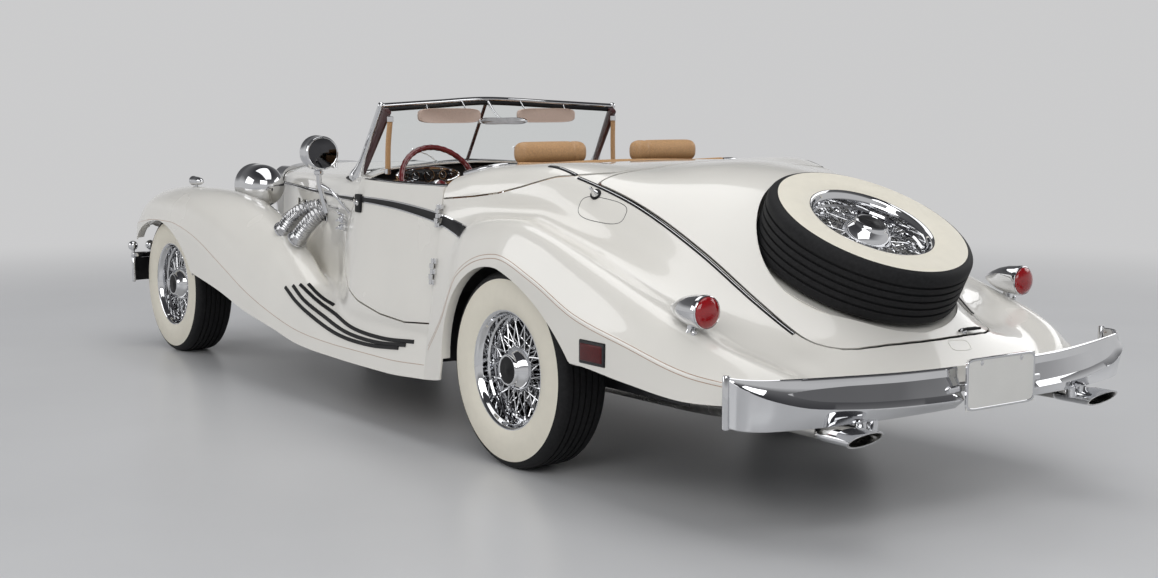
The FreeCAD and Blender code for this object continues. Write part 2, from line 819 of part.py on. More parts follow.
def make_knuckle():
    """Left stub axle: kingpin, yoke, brake drum and wheel spindle."""
    x, z = front_axle_x, tyre_radius
    low, high = kingpin_low, kingpin_low + kingpin_eye
    pin = Part.makeCylinder(kingpin_radius, high - low + 40, Vec(x, kingpin_y, low - 20))
    bottom = box(x - 24, x + 24, kingpin_y - 22, 534, low - 20, low - run_gap)
    top = box(x - 24, x + 24, kingpin_y - 22, 534, high + run_gap, high + 20)
    drum_y0 = front_wheel_y - hub_back - 10 - drum_width
    drum = rod((x, drum_y0, z), (x, drum_y0 + drum_width, z), drum_radius)
    post = box(x - 24, x + 24, kingpin_y + 34, drum_y0 + 2, low - 20, high + 20)
    spindle = rod((x, drum_y0, z), (x, front_wheel_y + hub_front - 4, z), stub_radius)
    arm = box(x - 150, x - 20, drum_y0 - 24, drum_y0 + 1, z - 60, z - 44)
    return joined([pin, bottom, top, drum, post, spindle, arm])


def make_rear_axle():
    z = tyre_radius
    drum_y0 = rear_wheel_y - hub_back - 10 - drum_width
    tube = rod((rear_axle_x, -drum_y0 - 4, z), (rear_axle_x, drum_y0 + 4, z), axle_tube_radius)
    pieces = [tube, Part.makeSphere(differential_radius, Vec(rear_axle_x, 0, z))]
    nose = rod((rear_axle_x, 0, z), (rear_axle_x + 190, 0, z + 6), 46)
    pieces.append(nose)
    for sign in (1, -1):
        a = sign * drum_y0
        b = sign * (drum_y0 + drum_width)
        pieces.append(rod((rear_axle_x, a, z), (rear_axle_x, b, z), drum_radius))
        tip = sign * (rear_wheel_y + hub_front - 4)
        pieces.append(rod((rear_axle_x, a, z), (rear_axle_x, tip, z), stub_radius))
    return joined(pieces)


def make_spring(x, y, top_z, eye_z, half_length, shackles):
    """Leaf spring bow from eye to eye. shackles are (end, inner y, outer y, top z) blocks."""
    t = spring_leaf
    a = Vec(x - half_length, y, eye_z)
    b = Vec(x + half_length, y, eye_z)
    upper = Part.Arc(a, Vec(x, y, top_z), b).toShape()
    lower = Part.Arc(b + Vec(0, 0, -t), Vec(x, y, top_z - t), a + Vec(0, 0, -t)).toShape()
    left = Part.LineSegment(lower.Vertexes[-1].Point, a).toShape()
    right = Part.LineSegment(b, lower.Vertexes[0].Point).toShape()
    ends = Part.Wire(Part.__sortEdges__([upper, lower, left, right]))
    bow = Part.Face(ends).extrude(Vec(0, spring_width, 0))
    bow.translate(Vec(0, -spring_width / 2, 0))
    pieces = [bow]
    for end, y0, y1, z1 in shackles:
        ex = x + end * (half_length - 14)
        pieces.append(box(ex - 12, ex + 12, y0, y1, eye_z - t, z1))
    return joined(pieces)


def make_springs():
    """Front springs under their rails, rear springs outside theirs."""
    front_z = axle_beam_z - axle_beam_radius
    front = make_spring(front_axle_x, 262.0, front_z, front_z + 32, 420.0,
                        [(-1, 240, 284, 330), (1, 240, 284, 330)])
    rear = make_spring(rear_axle_x, 490.0, tyre_radius - axle_tube_radius, 322.0, 470.0,
                       [(-1, 430, 512, 396), (1, 450, 512, 322)])
    return front, rear


def make_engine():
    block = box(sx(engine_rear), fx(2480), -engine_half, engine_half, engine_low, engine_top)
    gearbox = box(sx(cowl_joint) + 15, sx(engine_rear), -gearbox_half, gearbox_half,
                  gearbox_low, gearbox_top)
    return joined([block, gearbox])


def make_driveshaft():
    nose = (rear_axle_x + 180, 0, tyre_radius + 6)
    shaft = rod((sx(cowl_joint) + 25, 0, gearbox_low + 30), nose, shaft_radius)
    return largest(shaft.cut(engine).cut(axle))


def radiator_hole():
    """Space inside the radiator shell, through from back to front."""
    x0 = sx(bonnet_front)
    wires = []
    for x in (x0, x0 + radiator_depth + 4):
        wires.append(profile(x, [
            (-205, 520), (-252, 860), (-240, 890, -190, 900), (0, 925, 190, 900),
            (240, 890, 252, 860), (205, 520)]))
    return loft(wires)


def make_radiator():
    """Upright radiator shell with its open front."""
    x0 = sx(bonnet_front) + 2
    x1 = x0 + radiator_depth
    wires = []
    for x, grow in ((x0, 6.0), (x1 - 30, 6.0), (x1, -2.0)):
        wires.append(profile(x, [
            (-250 - grow, radiator_low), (-304 - grow, belt_z),
            (-292 - grow, 920 + grow, -225, 942 + grow), (0, 970 + grow, 225, 942 + grow),
            (292 + grow, 920 + grow, 304 + grow, belt_z), (250 + grow, radiator_low)]))
    shell = loft(wires).cut(radiator_hole())
    cap = Part.makeCone(30, 12, 46, Vec((x0 + x1) / 2, 0, 970))
    foot = box(x0, x1 - 20, -rail_front[0], rail_front[0], rail_front[2], radiator_low + 2)
    low = bonnet_rows[-1][-1] - bonnet_rod_radius
    high = bonnet_rows[1][-1] - bonnet_rod_radius
    hinge_rod = rod((x0 + 4, 0, low), (sx(cowl_joint), 0, high), bonnet_rod_radius)
    return joined([shell, cap, foot, hinge_rod])


def make_grille():
    x0 = sx(bonnet_front) + 2
    core = box(x0 + 20, x0 + 70, -300, 300, 500, 950)
    pieces = [core]
    for i in range(-12, 13):
        y = i * grille_pitch
        pieces.append(box(x0 + 69, x0 + 100, y - grille_bar, y + grille_bar, 500, 950))
    return joined(pieces).common(radiator_hole())


def place(point, sign=1):
    s, y, z = point
    return (sx(s), sign * y, z)


def make_windscreen_frame():
    pieces = []
    for sign in (1, -1):
        foot = place(screen_foot, sign)
        corner = place(header_corner, sign)
        pieces.append(rod(foot, corner, screen_tube))
        pieces.append(rod(corner, place(header_middle), screen_tube))
        pieces.append(rod(foot, place(screen_base_middle), screen_tube))
        for end in (foot, corner):
            pieces.append(Part.makeSphere(screen_tube, Vec(*end)))
        base = Part.makeCone(26, 18, 26, Vec(foot[0], foot[1], foot[2] - 24))
        pieces.append(base)
    pieces.append(rod(place(screen_base_middle), place(header_middle), screen_tube * 0.6))
    pieces.append(Part.makeSphere(screen_tube, Vec(*place(header_middle))))
    pieces.append(Part.makeSphere(screen_tube, Vec(*place(screen_base_middle))))
    return joined(pieces)


def make_glass(frame):
    panes = []
    for sign in (1, -1):
        corners = [place(screen_foot, sign), place(header_corner, sign), place(header_middle),
                   place(screen_base_middle)]
        a, b, c, d = [Vec(*p) for p in corners]
        normal = (b - a).cross(d - a)
        normal.normalize()
        c = c - normal * ((c - a).dot(normal))
        face = Part.Face(Part.makePolygon([a, b, c, d, a]))
        solid = face.extrude(normal * glass_thickness)
        solid.translate(normal * (-glass_thickness / 2))
        pane = solid.cut(frame)
        pane = max(pane.Solids, key=lambda one: one.Volume)
        panes.append(pane)
    return panes


def make_headlamp():
    x, y, z = place(headlamp_place)
    r, length = headlamp_radius, headlamp_length
    x = fx(headlamp_place[0])
    bowl = turned([(-length * 0.55, 0), (-length * 0.5, r * 0.35), (-length * 0.3, r * 0.72),
                   (0, r * 0.96), (length * 0.3, r), (length * 0.36, r * 1.06),
                   (length * 0.42, r * 1.06), (length * 0.42, 0)], (x, y, z), (1, 0, 0))
    post = rod((x, y, z - r * 0.9), (x, y - 10, 700), 20)
    return largest(joined([bowl, post]).cut(wing_full).cut(bonnet_full))


def make_tail_lamp():
    x, y, z = place(tail_lamp_place)
    r, length = tail_lamp_radius, tail_lamp_length
    body = turned([(0, 0), (0, r), (12, r * 1.04), (length * 0.35, r * 0.95), (length * 0.7, r * 0.72),
                   (length * 0.93, r * 0.34), (length, 0)], (x, y, z), (1, 0, 0))
    foot = rod((x + length * 0.45, y, z), (x + length * 0.55, y, z - 82), 22)
    return largest(joined([body, foot]).cut(fender_full))


def make_tail_lens():
    x, y, z = place(tail_lamp_place)
    r = tail_lamp_radius
    return turned([(0, 0), (0, r * 0.93), (6, r * 0.93), (14, r * 0.7), (18, 0)],
                  (x - run_gap, y, z), (-1, 0, 0))


def make_spotlight():
    x, y, z = place(spotlight_place)
    r = spotlight_radius
    drum = turned([(-40, 0), (-40, r * 0.95), (-30, r), (30, r), (60, r * 0.86), (82, r * 0.5),
                   (90, 0)], (x, y, z), (1, -0.12, 0))
    stem = rod((x + 10, y, z - r + 4), (x + 10, y - 30, 830), 11)
    reach = rod((x + 10, y - 26, 836), (x + 10, 640, 800), 11)
    return largest(joined([drum, stem, reach]).cut(side).cut(wing_full).cut(bonnet_full))


def make_flex_pipe(station, drop):
    """One outside exhaust pipe, from the bonnet side out and down to the wing."""
    x = sx(station)
    points = [Vec(x, 478, 800), Vec(x + 10, 560, 800), Vec(x + 90, 618, 770 - drop),
              Vec(x + 150, 632, 690 - drop)]
    first = Part.LineSegment(points[0], points[1]).toShape()
    bend = Part.Arc(points[1], (points[1] + points[3]) * 0.5 + Vec(-8, 28, 26), points[3]).toShape()
    path = Part.Wire([first, bend])
    circle = Part.Wire(Part.makeCircle(34, points[0], points[1] - points[0]))
    pipe = outward(path.makePipeShell([circle], True, True))
    return largest(pipe.cut(bonnet_full).cut(wing_full))


def make_rear_bumper():
    """Two sprung blades that wrap the corners, with their brackets."""
    ex, ey = sx(rear_bumper_end[0]), rear_bumper_end[1]
    mx = sx(rear_bumper_middle)
    rows = [
        (ex, ey, 356, 506, 8, 0.35, 1.0), (ex - 70, ey - 22, 356, 506, 18, -0.5, 0.85),
        (ex - 130, ey - 150, 358, 504, 30, -0.93, 0.37), (mx + 20, 420, 364, 500, 34, -0.98, 0.12),
        (mx, 170, 370, 497, 34, -1.0, 0.0)]
    arm = box(sx(-980), mx + 8, bumper_arm_inner, bumper_arm_outer, 372, rail_rear[1])
    half = joined([blade(rows, bumper_sheet), arm])
    bar = box(mx - bumper_bar_near, mx - bumper_bar_far, -200, 200, 424, 444)
    return joined([half, mirrored(half), bar])


def make_plate():
    x = sx(rear_bumper_middle) - 40
    sheet = box(x - plate_sheet, x, -plate_width / 2, plate_width / 2,
                plate_z - plate_height / 2, plate_z + plate_height / 2)
    for sign in (1, -1):
        hole = rod((x - 20, sign * plate_hole_spacing / 2, plate_z + 62),
                   (x + 20, sign * plate_hole_spacing / 2, plate_z + 62), plate_hole_radius)
        sheet = sheet.cut(hole)
    return sheet


def make_plate_bracket():
    x = sx(rear_bumper_middle)
    back = box(x - 40, x - 34, -120, 120, plate_z - 50, plate_z + 74)
    for sign in (1, -1):
        hole = rod((x - 60, sign * plate_hole_spacing / 2, plate_z + 62),
                   (x + 20, sign * plate_hole_spacing / 2, plate_z + 62), plate_hole_radius)
        back = back.cut(hole)
    arm = box(x - 35, x - bumper_bar_far, -40, 40, 424, 444)
    return joined([back, arm])


def make_front_bumper():
    x = fx(3672)
    rows = [
        (x - 110, 780, 330, 452, 6, 0.6, 0.8), (x - 40, 700, 326, 456, 18, 0.85, 0.5),
        (x - 8, 400, 324, 458, 26, 0.99, 0.1), (x, 0, 324, 458, 28, 1.0, 0.0)]
    guard = box(x - 70, x - 34, 655, 765, 450, 478)
    arm = box(fx(3480), x + 6, 240, 284, 350, 394)
    pieces = [blade(rows, bumper_sheet), guard, arm]
    for y in (662, 756):
        pieces.append(Part.makeCylinder(9, 30, Vec(x - 52, y, 470)))
        pieces.append(Part.makeSphere(26, Vec(x - 52, y, 512)))
    half = joined(pieces)
    return joined([half, mirrored(half)])


def make_exhaust():
    """Silencer and tailpipe of the left side, with its oval tip, hung from the rail."""
    # Columns: place along, y, z of the corners of the pipe
    corners = [(sx(705), 320, 246), (sx(250), 334, 250), (sx(-500), 340, 256),
               (sx(-950), tailpipe_y, tailpipe_z), (sx(-1330), tailpipe_y, tailpipe_z)]
    start, second = Vec(*corners[0]), Vec(*corners[1])
    pipe = bent_pipe([Vec(*p) for p in corners], tailpipe_radius, tailpipe_bend)
    silencer = rod((sx(1350), 320, 246), tuple(start + (start - second) * 0.01), silencer_radius)
    hook_y = tailpipe_y + 6
    hook = box(sx(-1050), sx(-1020), bumper_arm_outer, hook_y, rail_rear[1] - 10, rail_rear[1])
    drop = box(sx(-1050), sx(-1020), tailpipe_y - 16, hook_y, tailpipe_z, rail_rear[1] - 6)
    strap = box(sx(1000), sx(1030), 318, rail_middle[0] - rail_width / 2, 280, 300)
    whole = joined([pipe, silencer, hook, drop, strap, oval_tip(0)])
    return whole.cut(oval_tip(tailpipe_wall))


def bent_pipe(corners, radius, reach):
    """Round pipe along corners, each rounded from reach before it to reach after it."""
    edges = []
    here = corners[0]
    for a, b, c in zip(corners, corners[1:], corners[2:]):
        into = (b - a).normalize()
        onward = (c - b).normalize()
        first = b - into * reach
        last = b + onward * reach
        inward = (onward - into).normalize()
        half_turn = into.getAngle(onward) / 2
        bend = reach / math.tan(half_turn)
        middle = b + inward * (bend / math.cos(half_turn) - bend)
        edges.append(Part.LineSegment(here, first).toShape())
        edges.append(Part.Arc(first, middle, last).toShape())
        here = last
    edges.append(Part.LineSegment(here, corners[-1]).toShape())
    start = Part.Wire(Part.makeCircle(radius, corners[0], corners[1] - corners[0]))
    return outward(Part.Wire(edges).makePipeShell([start], True, True))


# Columns: station of the upper edge, station of the lower edge, half width, half height
tip_rows = [(-1300, -1300, 29, 29), (-1335, -1335, 62, 27), (-1460, -1400, 64, 27), (-1500, -1440, 64, 27)]


def oval_tip(sink):
    """Flat oval end of the left tailpipe, drawn in by sink all round."""
    sides = 20
    rows = []
    for upper, lower, half_y, half_z in tip_rows[1 if sink else 0:]:
        row = []
        for i in range(sides):
            turn = 2 * math.pi * i / sides
            rise = math.sin(turn)
            station = (upper + lower) / 2 + (upper - lower) / 2 * rise
            row.append(Vec(sx(station), tailpipe_y + (half_y - sink) * math.cos(turn),
                           tailpipe_z + (half_z - sink) * rise))
        rows.append(row)
    if sink:
        rows[-1] = [p + (p - q) for p, q in zip(rows[-1], rows[-2])]
    return faceted(rows)


def make_fuel_tank():
    pieces = [box(sx(-960), sx(-560), -tank_half, tank_half, tank_low, tank_top)]
    strap_y = rail_rear[0] + 5
    for station in (-900, -640):
        pieces.append(box(sx(station), sx(station) + 40, -strap_y, strap_y, tank_top - 10, rail_rear[1]))
    return joined(pieces)


# Columns: station, z of the backrest outline
backrest = [(350, 345), (480, 345), (500, 560), (440, seat_top), (362, seat_top), (345, 560)]
cushion_rear = 480.0
cushion_front = 960.0
cushion_top = 560.0


def make_seat():
    """Left seat: cushion and backrest pads as one closed soft form."""
    seat_inner = tunnel_half + floor_sheet + 3
    seat_outer = wheelhouse_y - skin - 6
    floor_top = sill_z + floor_sheet + 0.3
    back = side_prism([(sx(s), z) for s, z in backrest], seat_inner, seat_outer)
    cushion = box(sx(cushion_rear), sx(cushion_front), seat_inner, seat_outer, floor_top, cushion_top)
    return joined([cushion, back])


def make_headrest():
    x = sx(headrest_station)
    half = headrest_depth / 2
    pieces = [box(x - half, x + half, headrest_inner, headrest_outer, headrest_low, headrest_high)]
    for y in (210, 340):
        pieces.append(Part.makeCylinder(6, headrest_low - seat_top + 4, Vec(x - 14, y, seat_top)))
    return joined(pieces)


# Columns: station, z of the dashboard outline
dash_outline = [(1215, 800), (1300, 790), (1330, 950), (1230, 950)]


def make_dash():
    board = side_prism([(sx(s), z) for s, z in dash_outline], -dash_half, dash_half)
    return board.common(side_room).cut(frame_ring).cut(column)


def steering_axis():
    rake = math.radians(steering_rake)
    return Vec(-math.cos(rake), 0, math.sin(rake))


def make_column():
    axis = steering_axis()
    center = Vec(*place(steering_place))
    top = center - axis * 40
    length = (sx(cowl_joint) - top.x) / -axis.x
    return largest(Part.makeCylinder(column_radius, length, top, axis * -1).cut(cowl))


def make_steering_wheel():
    axis = steering_axis()
    center = Vec(*place(steering_place))
    rim = Part.makeTorus(steering_radius - 12, 12, center, axis)
    hub = Part.makeCylinder(30, 34, center - axis * 24, axis)
    shaft = Part.makeCylinder(10, 16, center - axis * (40 - run_gap), axis)
    side_way = Vec(0, 1, 0)
    down_way = axis.cross(side_way)
    pieces = [rim, hub, shaft]
    for way in (side_way, side_way * -1, down_way):
        end = center + way * (steering_radius - 14)
        pieces.append(rod(tuple(center - axis * 8), tuple(end), 7))
    return joined(pieces)


def make_gear_lever():
    x = sx(lever_station)
    base = Part.makeCone(34, 14, 30, Vec(x, 0, tunnel_top + floor_sheet))
    stem = rod((x, 0, tunnel_top + 10), (x - 20, 0, lever_top - 15), 7)
    knob = Part.makeSphere(27, Vec(x - 20, 0, lever_top))
    return joined([base, stem, knob])


def make_mirror():
    x = sx(mirror_station)
    glass = box(x - 12, x + 4, -mirror_half, mirror_half, mirror_low, mirror_high)
    stem = rod((x, 0, mirror_high - 10), place(header_middle), 6)
    return largest(joined([glass, stem]).cut(frame_ring))


def make_visors():
    """Left sun visor with the two rods that hold it on the header."""
    x = sx(visor_station)
    pieces = [box(x - 8, x + 8, visor_inner, visor_outer, visor_low, visor_high)]
    for y in visor_rods:
        t = (header_corner[1] - y) / header_corner[1]
        s = header_corner[0] + (header_middle[0] - header_corner[0]) * t
        z = header_corner[2] + (header_middle[2] - header_corner[2]) * t
        pieces.append(rod((x, y, visor_high - 8), (sx(s), y, z), 4))
    return largest(joined(pieces).cut(frame_ring))


def make_marker():
    """Small lamp on top of the left front wing."""
    x, y, z = fx(marker_place[0]), marker_place[1], marker_place[2]
    r = marker_radius
    base = turned([(-80, 0), (-70, r * 0.64), (-20, r), (30, r), (55, r * 0.55), (60, 0)],
                  (x, y, z), (1, 0, 0))
    foot = box(x - r, x + r, y - 8, y + 8, z - 42, z - r * 0.45)
    return largest(joined([base, foot]).cut(wing_full))


shapes = {}


def keep(name, shape):
    shapes[name] = shape


frame_ring = make_windscreen_frame()
panes = make_glass(frame_ring)
spring_front, spring_rear = make_springs()
wing = make_wing()
fender = make_rear_fender()
door = make_door()
half_bonnet = make_bonnet()
half_side = make_bonnet_side()
knuckle = make_knuckle()
cowl = make_cowl()
column = make_column()
engine = make_engine()
axle = make_rear_axle()
hinges = make_door_hinges()

keep("chassis_frame", make_chassis())
keep("cabin_floor", make_floor())
keep("rear_body", make_rear_body())
keep("side_walls", make_side_wall())
keep("cowl", cowl)
keep("door_hinges", Part.makeCompound(hinges + [mirrored(one) for one in hinges]))
keep("front_wing_left", wing)
keep("front_wing_right", mirrored(wing))
keep("rear_fender_left", fender)
keep("rear_fender_right", mirrored(fender))
keep("bonnet_side_left", half_side)
keep("bonnet_side_right", mirrored(half_side))
keep("bonnet_left", half_bonnet)
keep("bonnet_right", mirrored(half_bonnet))
keep("door_left", door)
keep("door_right", mirrored(door))
keep("hood_cover", make_hood_cover())
keep("trunk_lid", make_trunk_lid())
keep("radiator_shell", make_radiator())
keep("radiator_grille", make_grille())
keep("windscreen_frame", frame_ring)
keep("windscreen_glass", Part.makeCompound(panes))
keep("engine_block", engine)
keep("driveshaft", make_driveshaft())
keep("front_axle", make_front_axle())
keep("rear_axle", axle)
keep("leaf_springs", Part.makeCompound([spring_front, mirrored(spring_front),
                                        spring_rear, mirrored(spring_rear)]))
keep("fuel_tank", make_fuel_tank())
keep("exhaust_system", both(make_exhaust()))
keep("flex_pipes", both(Part.makeCompound([make_flex_pipe(1880, 0), make_flex_pipe(1740, 30)])))
keep("front_bumper", make_front_bumper())
keep("rear_bumper", make_rear_bumper())
keep("plate_bracket", make_plate_bracket())
keep("number_plate", make_plate())
keep("headlamps", both(make_headlamp()))
keep("tail_lamps", both(make_tail_lamp()))
keep("tail_lenses", both(make_tail_lens()))
keep("marker_lamps", both(make_marker()))
keep("spotlight", make_spotlight())
keep("seats", both(make_seat()))
keep("headrests", both(make_headrest()))
keep("dashboard", make_dash())
keep("steering_column", column)
keep("steering_wheel", make_steering_wheel())
keep("gear_lever", make_gear_lever())
keep("interior_mirror", make_mirror())
keep("sun_visors", both(make_visors()))
keep("knuckle_left", knuckle)
keep("knuckle_right", mirrored(knuckle))

# Columns: name, axle x, wheel middle y, side sign
for name, axle_x, wheel_y, sign in [
        ("front_left", front_axle_x, front_wheel_y, 1), ("front_right", front_axle_x, front_wheel_y, -1),
        ("rear_left", rear_axle_x, rear_wheel_y, 1), ("rear_right", rear_axle_x, rear_wheel_y, -1)]:
    middle = (axle_x, sign * wheel_y, tyre_radius)
    keep("tyre_" + name, make_tyre(middle, (0, sign, 0)))
    keep("wheel_" + name, make_wire_wheel(middle, (0, sign, 0), stub_radius + run_gap))

spare_middle = Vec(sx(spare_station), 0, spare_face_z) - spare_axis() * (tyre_width / 2)
keep("tyre_spare", make_tyre(tuple(spare_middle), tuple(spare_axis())))
keep("wheel_spare", make_wire_wheel(tuple(spare_middle), tuple(spare_axis()), stub_radius + run_gap))

os.makedirs("parts", exist_ok=True)
for name, shape in shapes.items():
    shape.exportStep("parts/" + name + ".step")
    count = len(shape.Solids)
    box_ = shape.BoundBox
    print(name, count, shape.isValid(), round(shape.Volume / 1e6, 3),
          [round(v) for v in (box_.XMin, box_.XMax, box_.YMin, box_.YMax, box_.ZMin, box_.ZMax)])
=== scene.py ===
import bmesh
import bpy
import json
import math
import numpy as np
from mathutils import Matrix, Vector
from mathutils.bvhtree import BVHTree


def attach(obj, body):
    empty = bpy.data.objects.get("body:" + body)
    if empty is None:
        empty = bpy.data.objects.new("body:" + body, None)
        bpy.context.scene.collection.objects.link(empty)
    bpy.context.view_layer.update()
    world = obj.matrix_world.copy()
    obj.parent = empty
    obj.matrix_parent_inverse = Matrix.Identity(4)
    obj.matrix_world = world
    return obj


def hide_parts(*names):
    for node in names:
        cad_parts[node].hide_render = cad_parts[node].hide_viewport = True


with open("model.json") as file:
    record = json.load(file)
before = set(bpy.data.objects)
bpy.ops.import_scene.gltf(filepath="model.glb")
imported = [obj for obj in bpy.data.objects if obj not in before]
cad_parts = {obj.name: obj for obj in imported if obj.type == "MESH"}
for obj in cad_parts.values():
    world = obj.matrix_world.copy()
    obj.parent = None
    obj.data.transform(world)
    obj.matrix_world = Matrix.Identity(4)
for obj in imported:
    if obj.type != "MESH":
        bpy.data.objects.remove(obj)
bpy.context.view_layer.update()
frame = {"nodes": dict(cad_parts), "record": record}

# Ivory roadster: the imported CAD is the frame, and this script gives it its finish.
# Tables are in millimetres. Stations run forward from the rear axle.
car = {"rearAxle": -1100.0, "frontAxle": 2100.0, "tyreRadius": 344.0, "rearWheelY": 672.5,
       "frontWheelY": 617.5, "panelGap": 6.0, "sheet": 6.0}


def carX(station):
    return car["rearAxle"] + station


def turns(count):
    return np.linspace(0, 2 * math.pi, count, endpoint=False)


# The photograph's viewing place and lens
view = {"place": (-5.5375, 3.6657, 1.2479), "yaw": -0.6279, "pitch": -0.1154, "roll": -0.0005,
        "lens": 48.37, "shiftX": -0.00183, "shiftY": -0.00193}


def makeCamera():
    forward = Vector((math.cos(view["pitch"]) * math.cos(view["yaw"]),
                      math.cos(view["pitch"]) * math.sin(view["yaw"]), math.sin(view["pitch"])))
    data = bpy.data.cameras.new("camera")
    data.lens = view["lens"]
    data.sensor_width = 36.0
    data.shift_x = view["shiftX"]
    data.shift_y = view["shiftY"]
    camera = bpy.data.objects.new("camera", data)
    bpy.context.scene.collection.objects.link(camera)
    turn = forward.to_track_quat("-Z", "Y").to_matrix().to_4x4()
    camera.matrix_world = Matrix.Translation(view["place"]) @ turn @ Matrix.Rotation(-view["roll"], 4, "Z")
    bpy.context.scene.camera = camera


# Small helpers for the nodes of a material. A node's named inputs get a number or a socket
def addNode(tree, kind, **inputs):
    node = tree.nodes.new("ShaderNode" + kind)
    for name, value in inputs.items():
        socket = node.inputs[name.replace("_", " ")]
        if isinstance(value, bpy.types.NodeSocket):
            tree.links.new(value, socket)
        else:
            socket.default_value = value
    return node


def newMaterial(name):
    material = bpy.data.materials.new(name)
    material.use_nodes = True
    tree = material.node_tree
    tree.nodes.clear()
    out = addNode(tree, "OutputMaterial")
    shader = addNode(tree, "BsdfPrincipled")
    tree.links.new(shader.outputs[0], out.inputs[0])
    return material, tree, shader


def setShader(shader, **values):
    for name, value in values.items():
        shader.inputs[name.replace("_", " ")].default_value = value


def noiseOf(tree, scale, detail=3.0, rough=0.5, stretch=None):
    source = addNode(tree, "TexCoord").outputs["Object"]
    if stretch:
        source = addNode(tree, "Mapping", Vector=source, Scale=stretch).outputs["Vector"]
    return addNode(tree, "TexNoise", Vector=source, Scale=scale, Detail=detail,
                   Roughness=rough).outputs["Fac"]


def rampOf(tree, factor, stops):
    ramp = addNode(tree, "ValToRGB", Fac=factor)
    while len(ramp.color_ramp.elements) < len(stops):
        ramp.color_ramp.elements.new(0.5)
    for element, (at, color) in zip(ramp.color_ramp.elements, stops):
        element.position = at
        element.color = color if len(color) == 4 else (*color, 1.0)
    return ramp.outputs["Color"]


def rangeOf(tree, factor, low, high):
    return addNode(tree, "MapRange", Value=factor, To_Min=low, To_Max=high).outputs["Result"]


def bumpOf(tree, shader, height, strength, distance):
    bump = addNode(tree, "Bump", Height=height, Strength=strength, Distance=distance)
    tree.links.new(bump.outputs["Normal"], shader.inputs["Normal"])


# A mix of two shaders by a factor, joined to the output
def mixInto(tree, factor, first, second, out):
    mix = addNode(tree, "MixShader")
    for socket, target in zip((factor, first, second), mix.inputs):
        tree.links.new(socket, target)
    tree.links.new(mix.outputs[0], out.inputs[0])


def shade(color, amount):
    return tuple(max(0.0, min(1.0, c * amount)) for c in color)


# Columns: base colour, metal, roughness low and high, noise scale, how far the colour varies,
# coat, bump height in metres, specular level
finishes = {
    "ivoryPaint": ((0.8, 0.775, 0.715), 0.0, (0.22, 0.3), 3.0, 0.02, 0.9, 0.0, 0.5),
    "chromePlate": ((0.7, 0.705, 0.72), 1.0, (0.03, 0.06), 9.0, 0.02, 0.0, 0.0, 0.5),
    "satinBlack": ((0.022, 0.022, 0.024), 0.0, (0.42, 0.6), 30.0, 0.3, 0.0, 0.0004, 0.5),
    "castGrey": ((0.2, 0.2, 0.205), 0.6, (0.45, 0.65), 60.0, 0.25, 0.0, 0.0008, 0.5),
    "treadRubber": ((0.012, 0.012, 0.013), 0.0, (0.55, 0.75), 90.0, 0.35, 0.0, 0.0003, 0.25),
    "creamWall": ((0.8, 0.755, 0.64), 0.0, (0.48, 0.62), 26.0, 0.02, 0.0, 0.0002, 0.5),
    "tanLeather": ((0.5, 0.29, 0.135), 0.0, (0.42, 0.58), 240.0, 0.18, 0.08, 0.0007, 0.5),
    "darkCarpet": ((0.16, 0.085, 0.04), 0.0, (0.9, 1.0), 420.0, 0.5, 0.0, 0.002, 0.5),
    "redRim": ((0.13, 0.012, 0.014), 0.0, (0.16, 0.25), 12.0, 0.25, 0.8, 0.0, 0.5),
    "visorCloth": ((0.56, 0.43, 0.36), 0.0, (0.8, 0.92), 500.0, 0.16, 0.0, 0.0006, 0.5),
    "heatedSteel": ((0.56, 0.55, 0.53), 1.0, (0.16, 0.34), 18.0, 0.2, 0.0, 0.0002, 0.5),
    "plateEnamel": ((0.78, 0.77, 0.73), 0.0, (0.28, 0.38), 12.0, 0.015, 0.3, 0.0, 0.5),
    # Black of the rubber strips and seals; on the front bumper's back skin it is painted shade
    "blackStrip": ((0.008, 0.008, 0.009), 0.0, (0.42, 0.55), 80.0, 0.3, 0.0, 0.0002, 0.22),
    "darkLens": ((0.075, 0.003, 0.004), 0.0, (0.3, 0.38), 160.0, 0.2, 0.15, 0.0003, 0.25),
    "pinstripeTan": ((0.42, 0.27, 0.19), 0.0, (0.3, 0.4), 60.0, 0.12, 0.5, 0.0, 0.5),
    "meshBlack": ((0.03, 0.03, 0.032), 0.5, (0.4, 0.55), 60.0, 0.3, 0.0, 0.0003, 0.5),
    # Grey of the filler lid's seam: painted shade of its groove
    "seamGrey": ((0.1, 0.1, 0.095), 0.0, (0.5, 0.7), 60.0, 0.2, 0.0, 0.0, 0.5),
    "flexSteel": ((0.52, 0.52, 0.53), 1.0, (0.2, 0.3), 40.0, 0.12, 0.0, 0.0, 0.5),
    "dialFace": ((0.7, 0.68, 0.6), 0.0, (0.3, 0.4), 50.0, 0.06, 0.6, 0.0, 0.5),
    "darkTrim": ((0.045, 0.012, 0.012), 0.0, (0.25, 0.35), 20.0, 0.25, 0.5, 0.0, 0.5),
    "darkDial": ((0.012, 0.014, 0.016), 0.0, (0.1, 0.16), 40.0, 0.2, 0.3, 0.0, 0.5)}
madeMaterials = {}


# Colour and roughness of a shader follow one noise
def clouded(tree, shader, cloud, stops, rough):
    tree.links.new(rampOf(tree, cloud, stops), shader.inputs["Base Color"])
    tree.links.new(rangeOf(tree, cloud, *rough), shader.inputs["Roughness"])


def plainFinish(name):
    color, metal, rough, scale, vary, coat, bump, specular = finishes[name]
    material, tree, shader = newMaterial(name)
    setShader(shader, Metallic=metal, Coat_Weight=coat, Coat_Roughness=0.03, Specular_IOR_Level=specular)
    cloud = noiseOf(tree, scale)
    clouded(tree, shader, cloud, [(0.3, shade(color, 1 - vary)), (0.7, shade(color, 1 + vary))], rough)
    if bump:
        bumpOf(tree, shader, cloud, 0.5, bump)
    return material


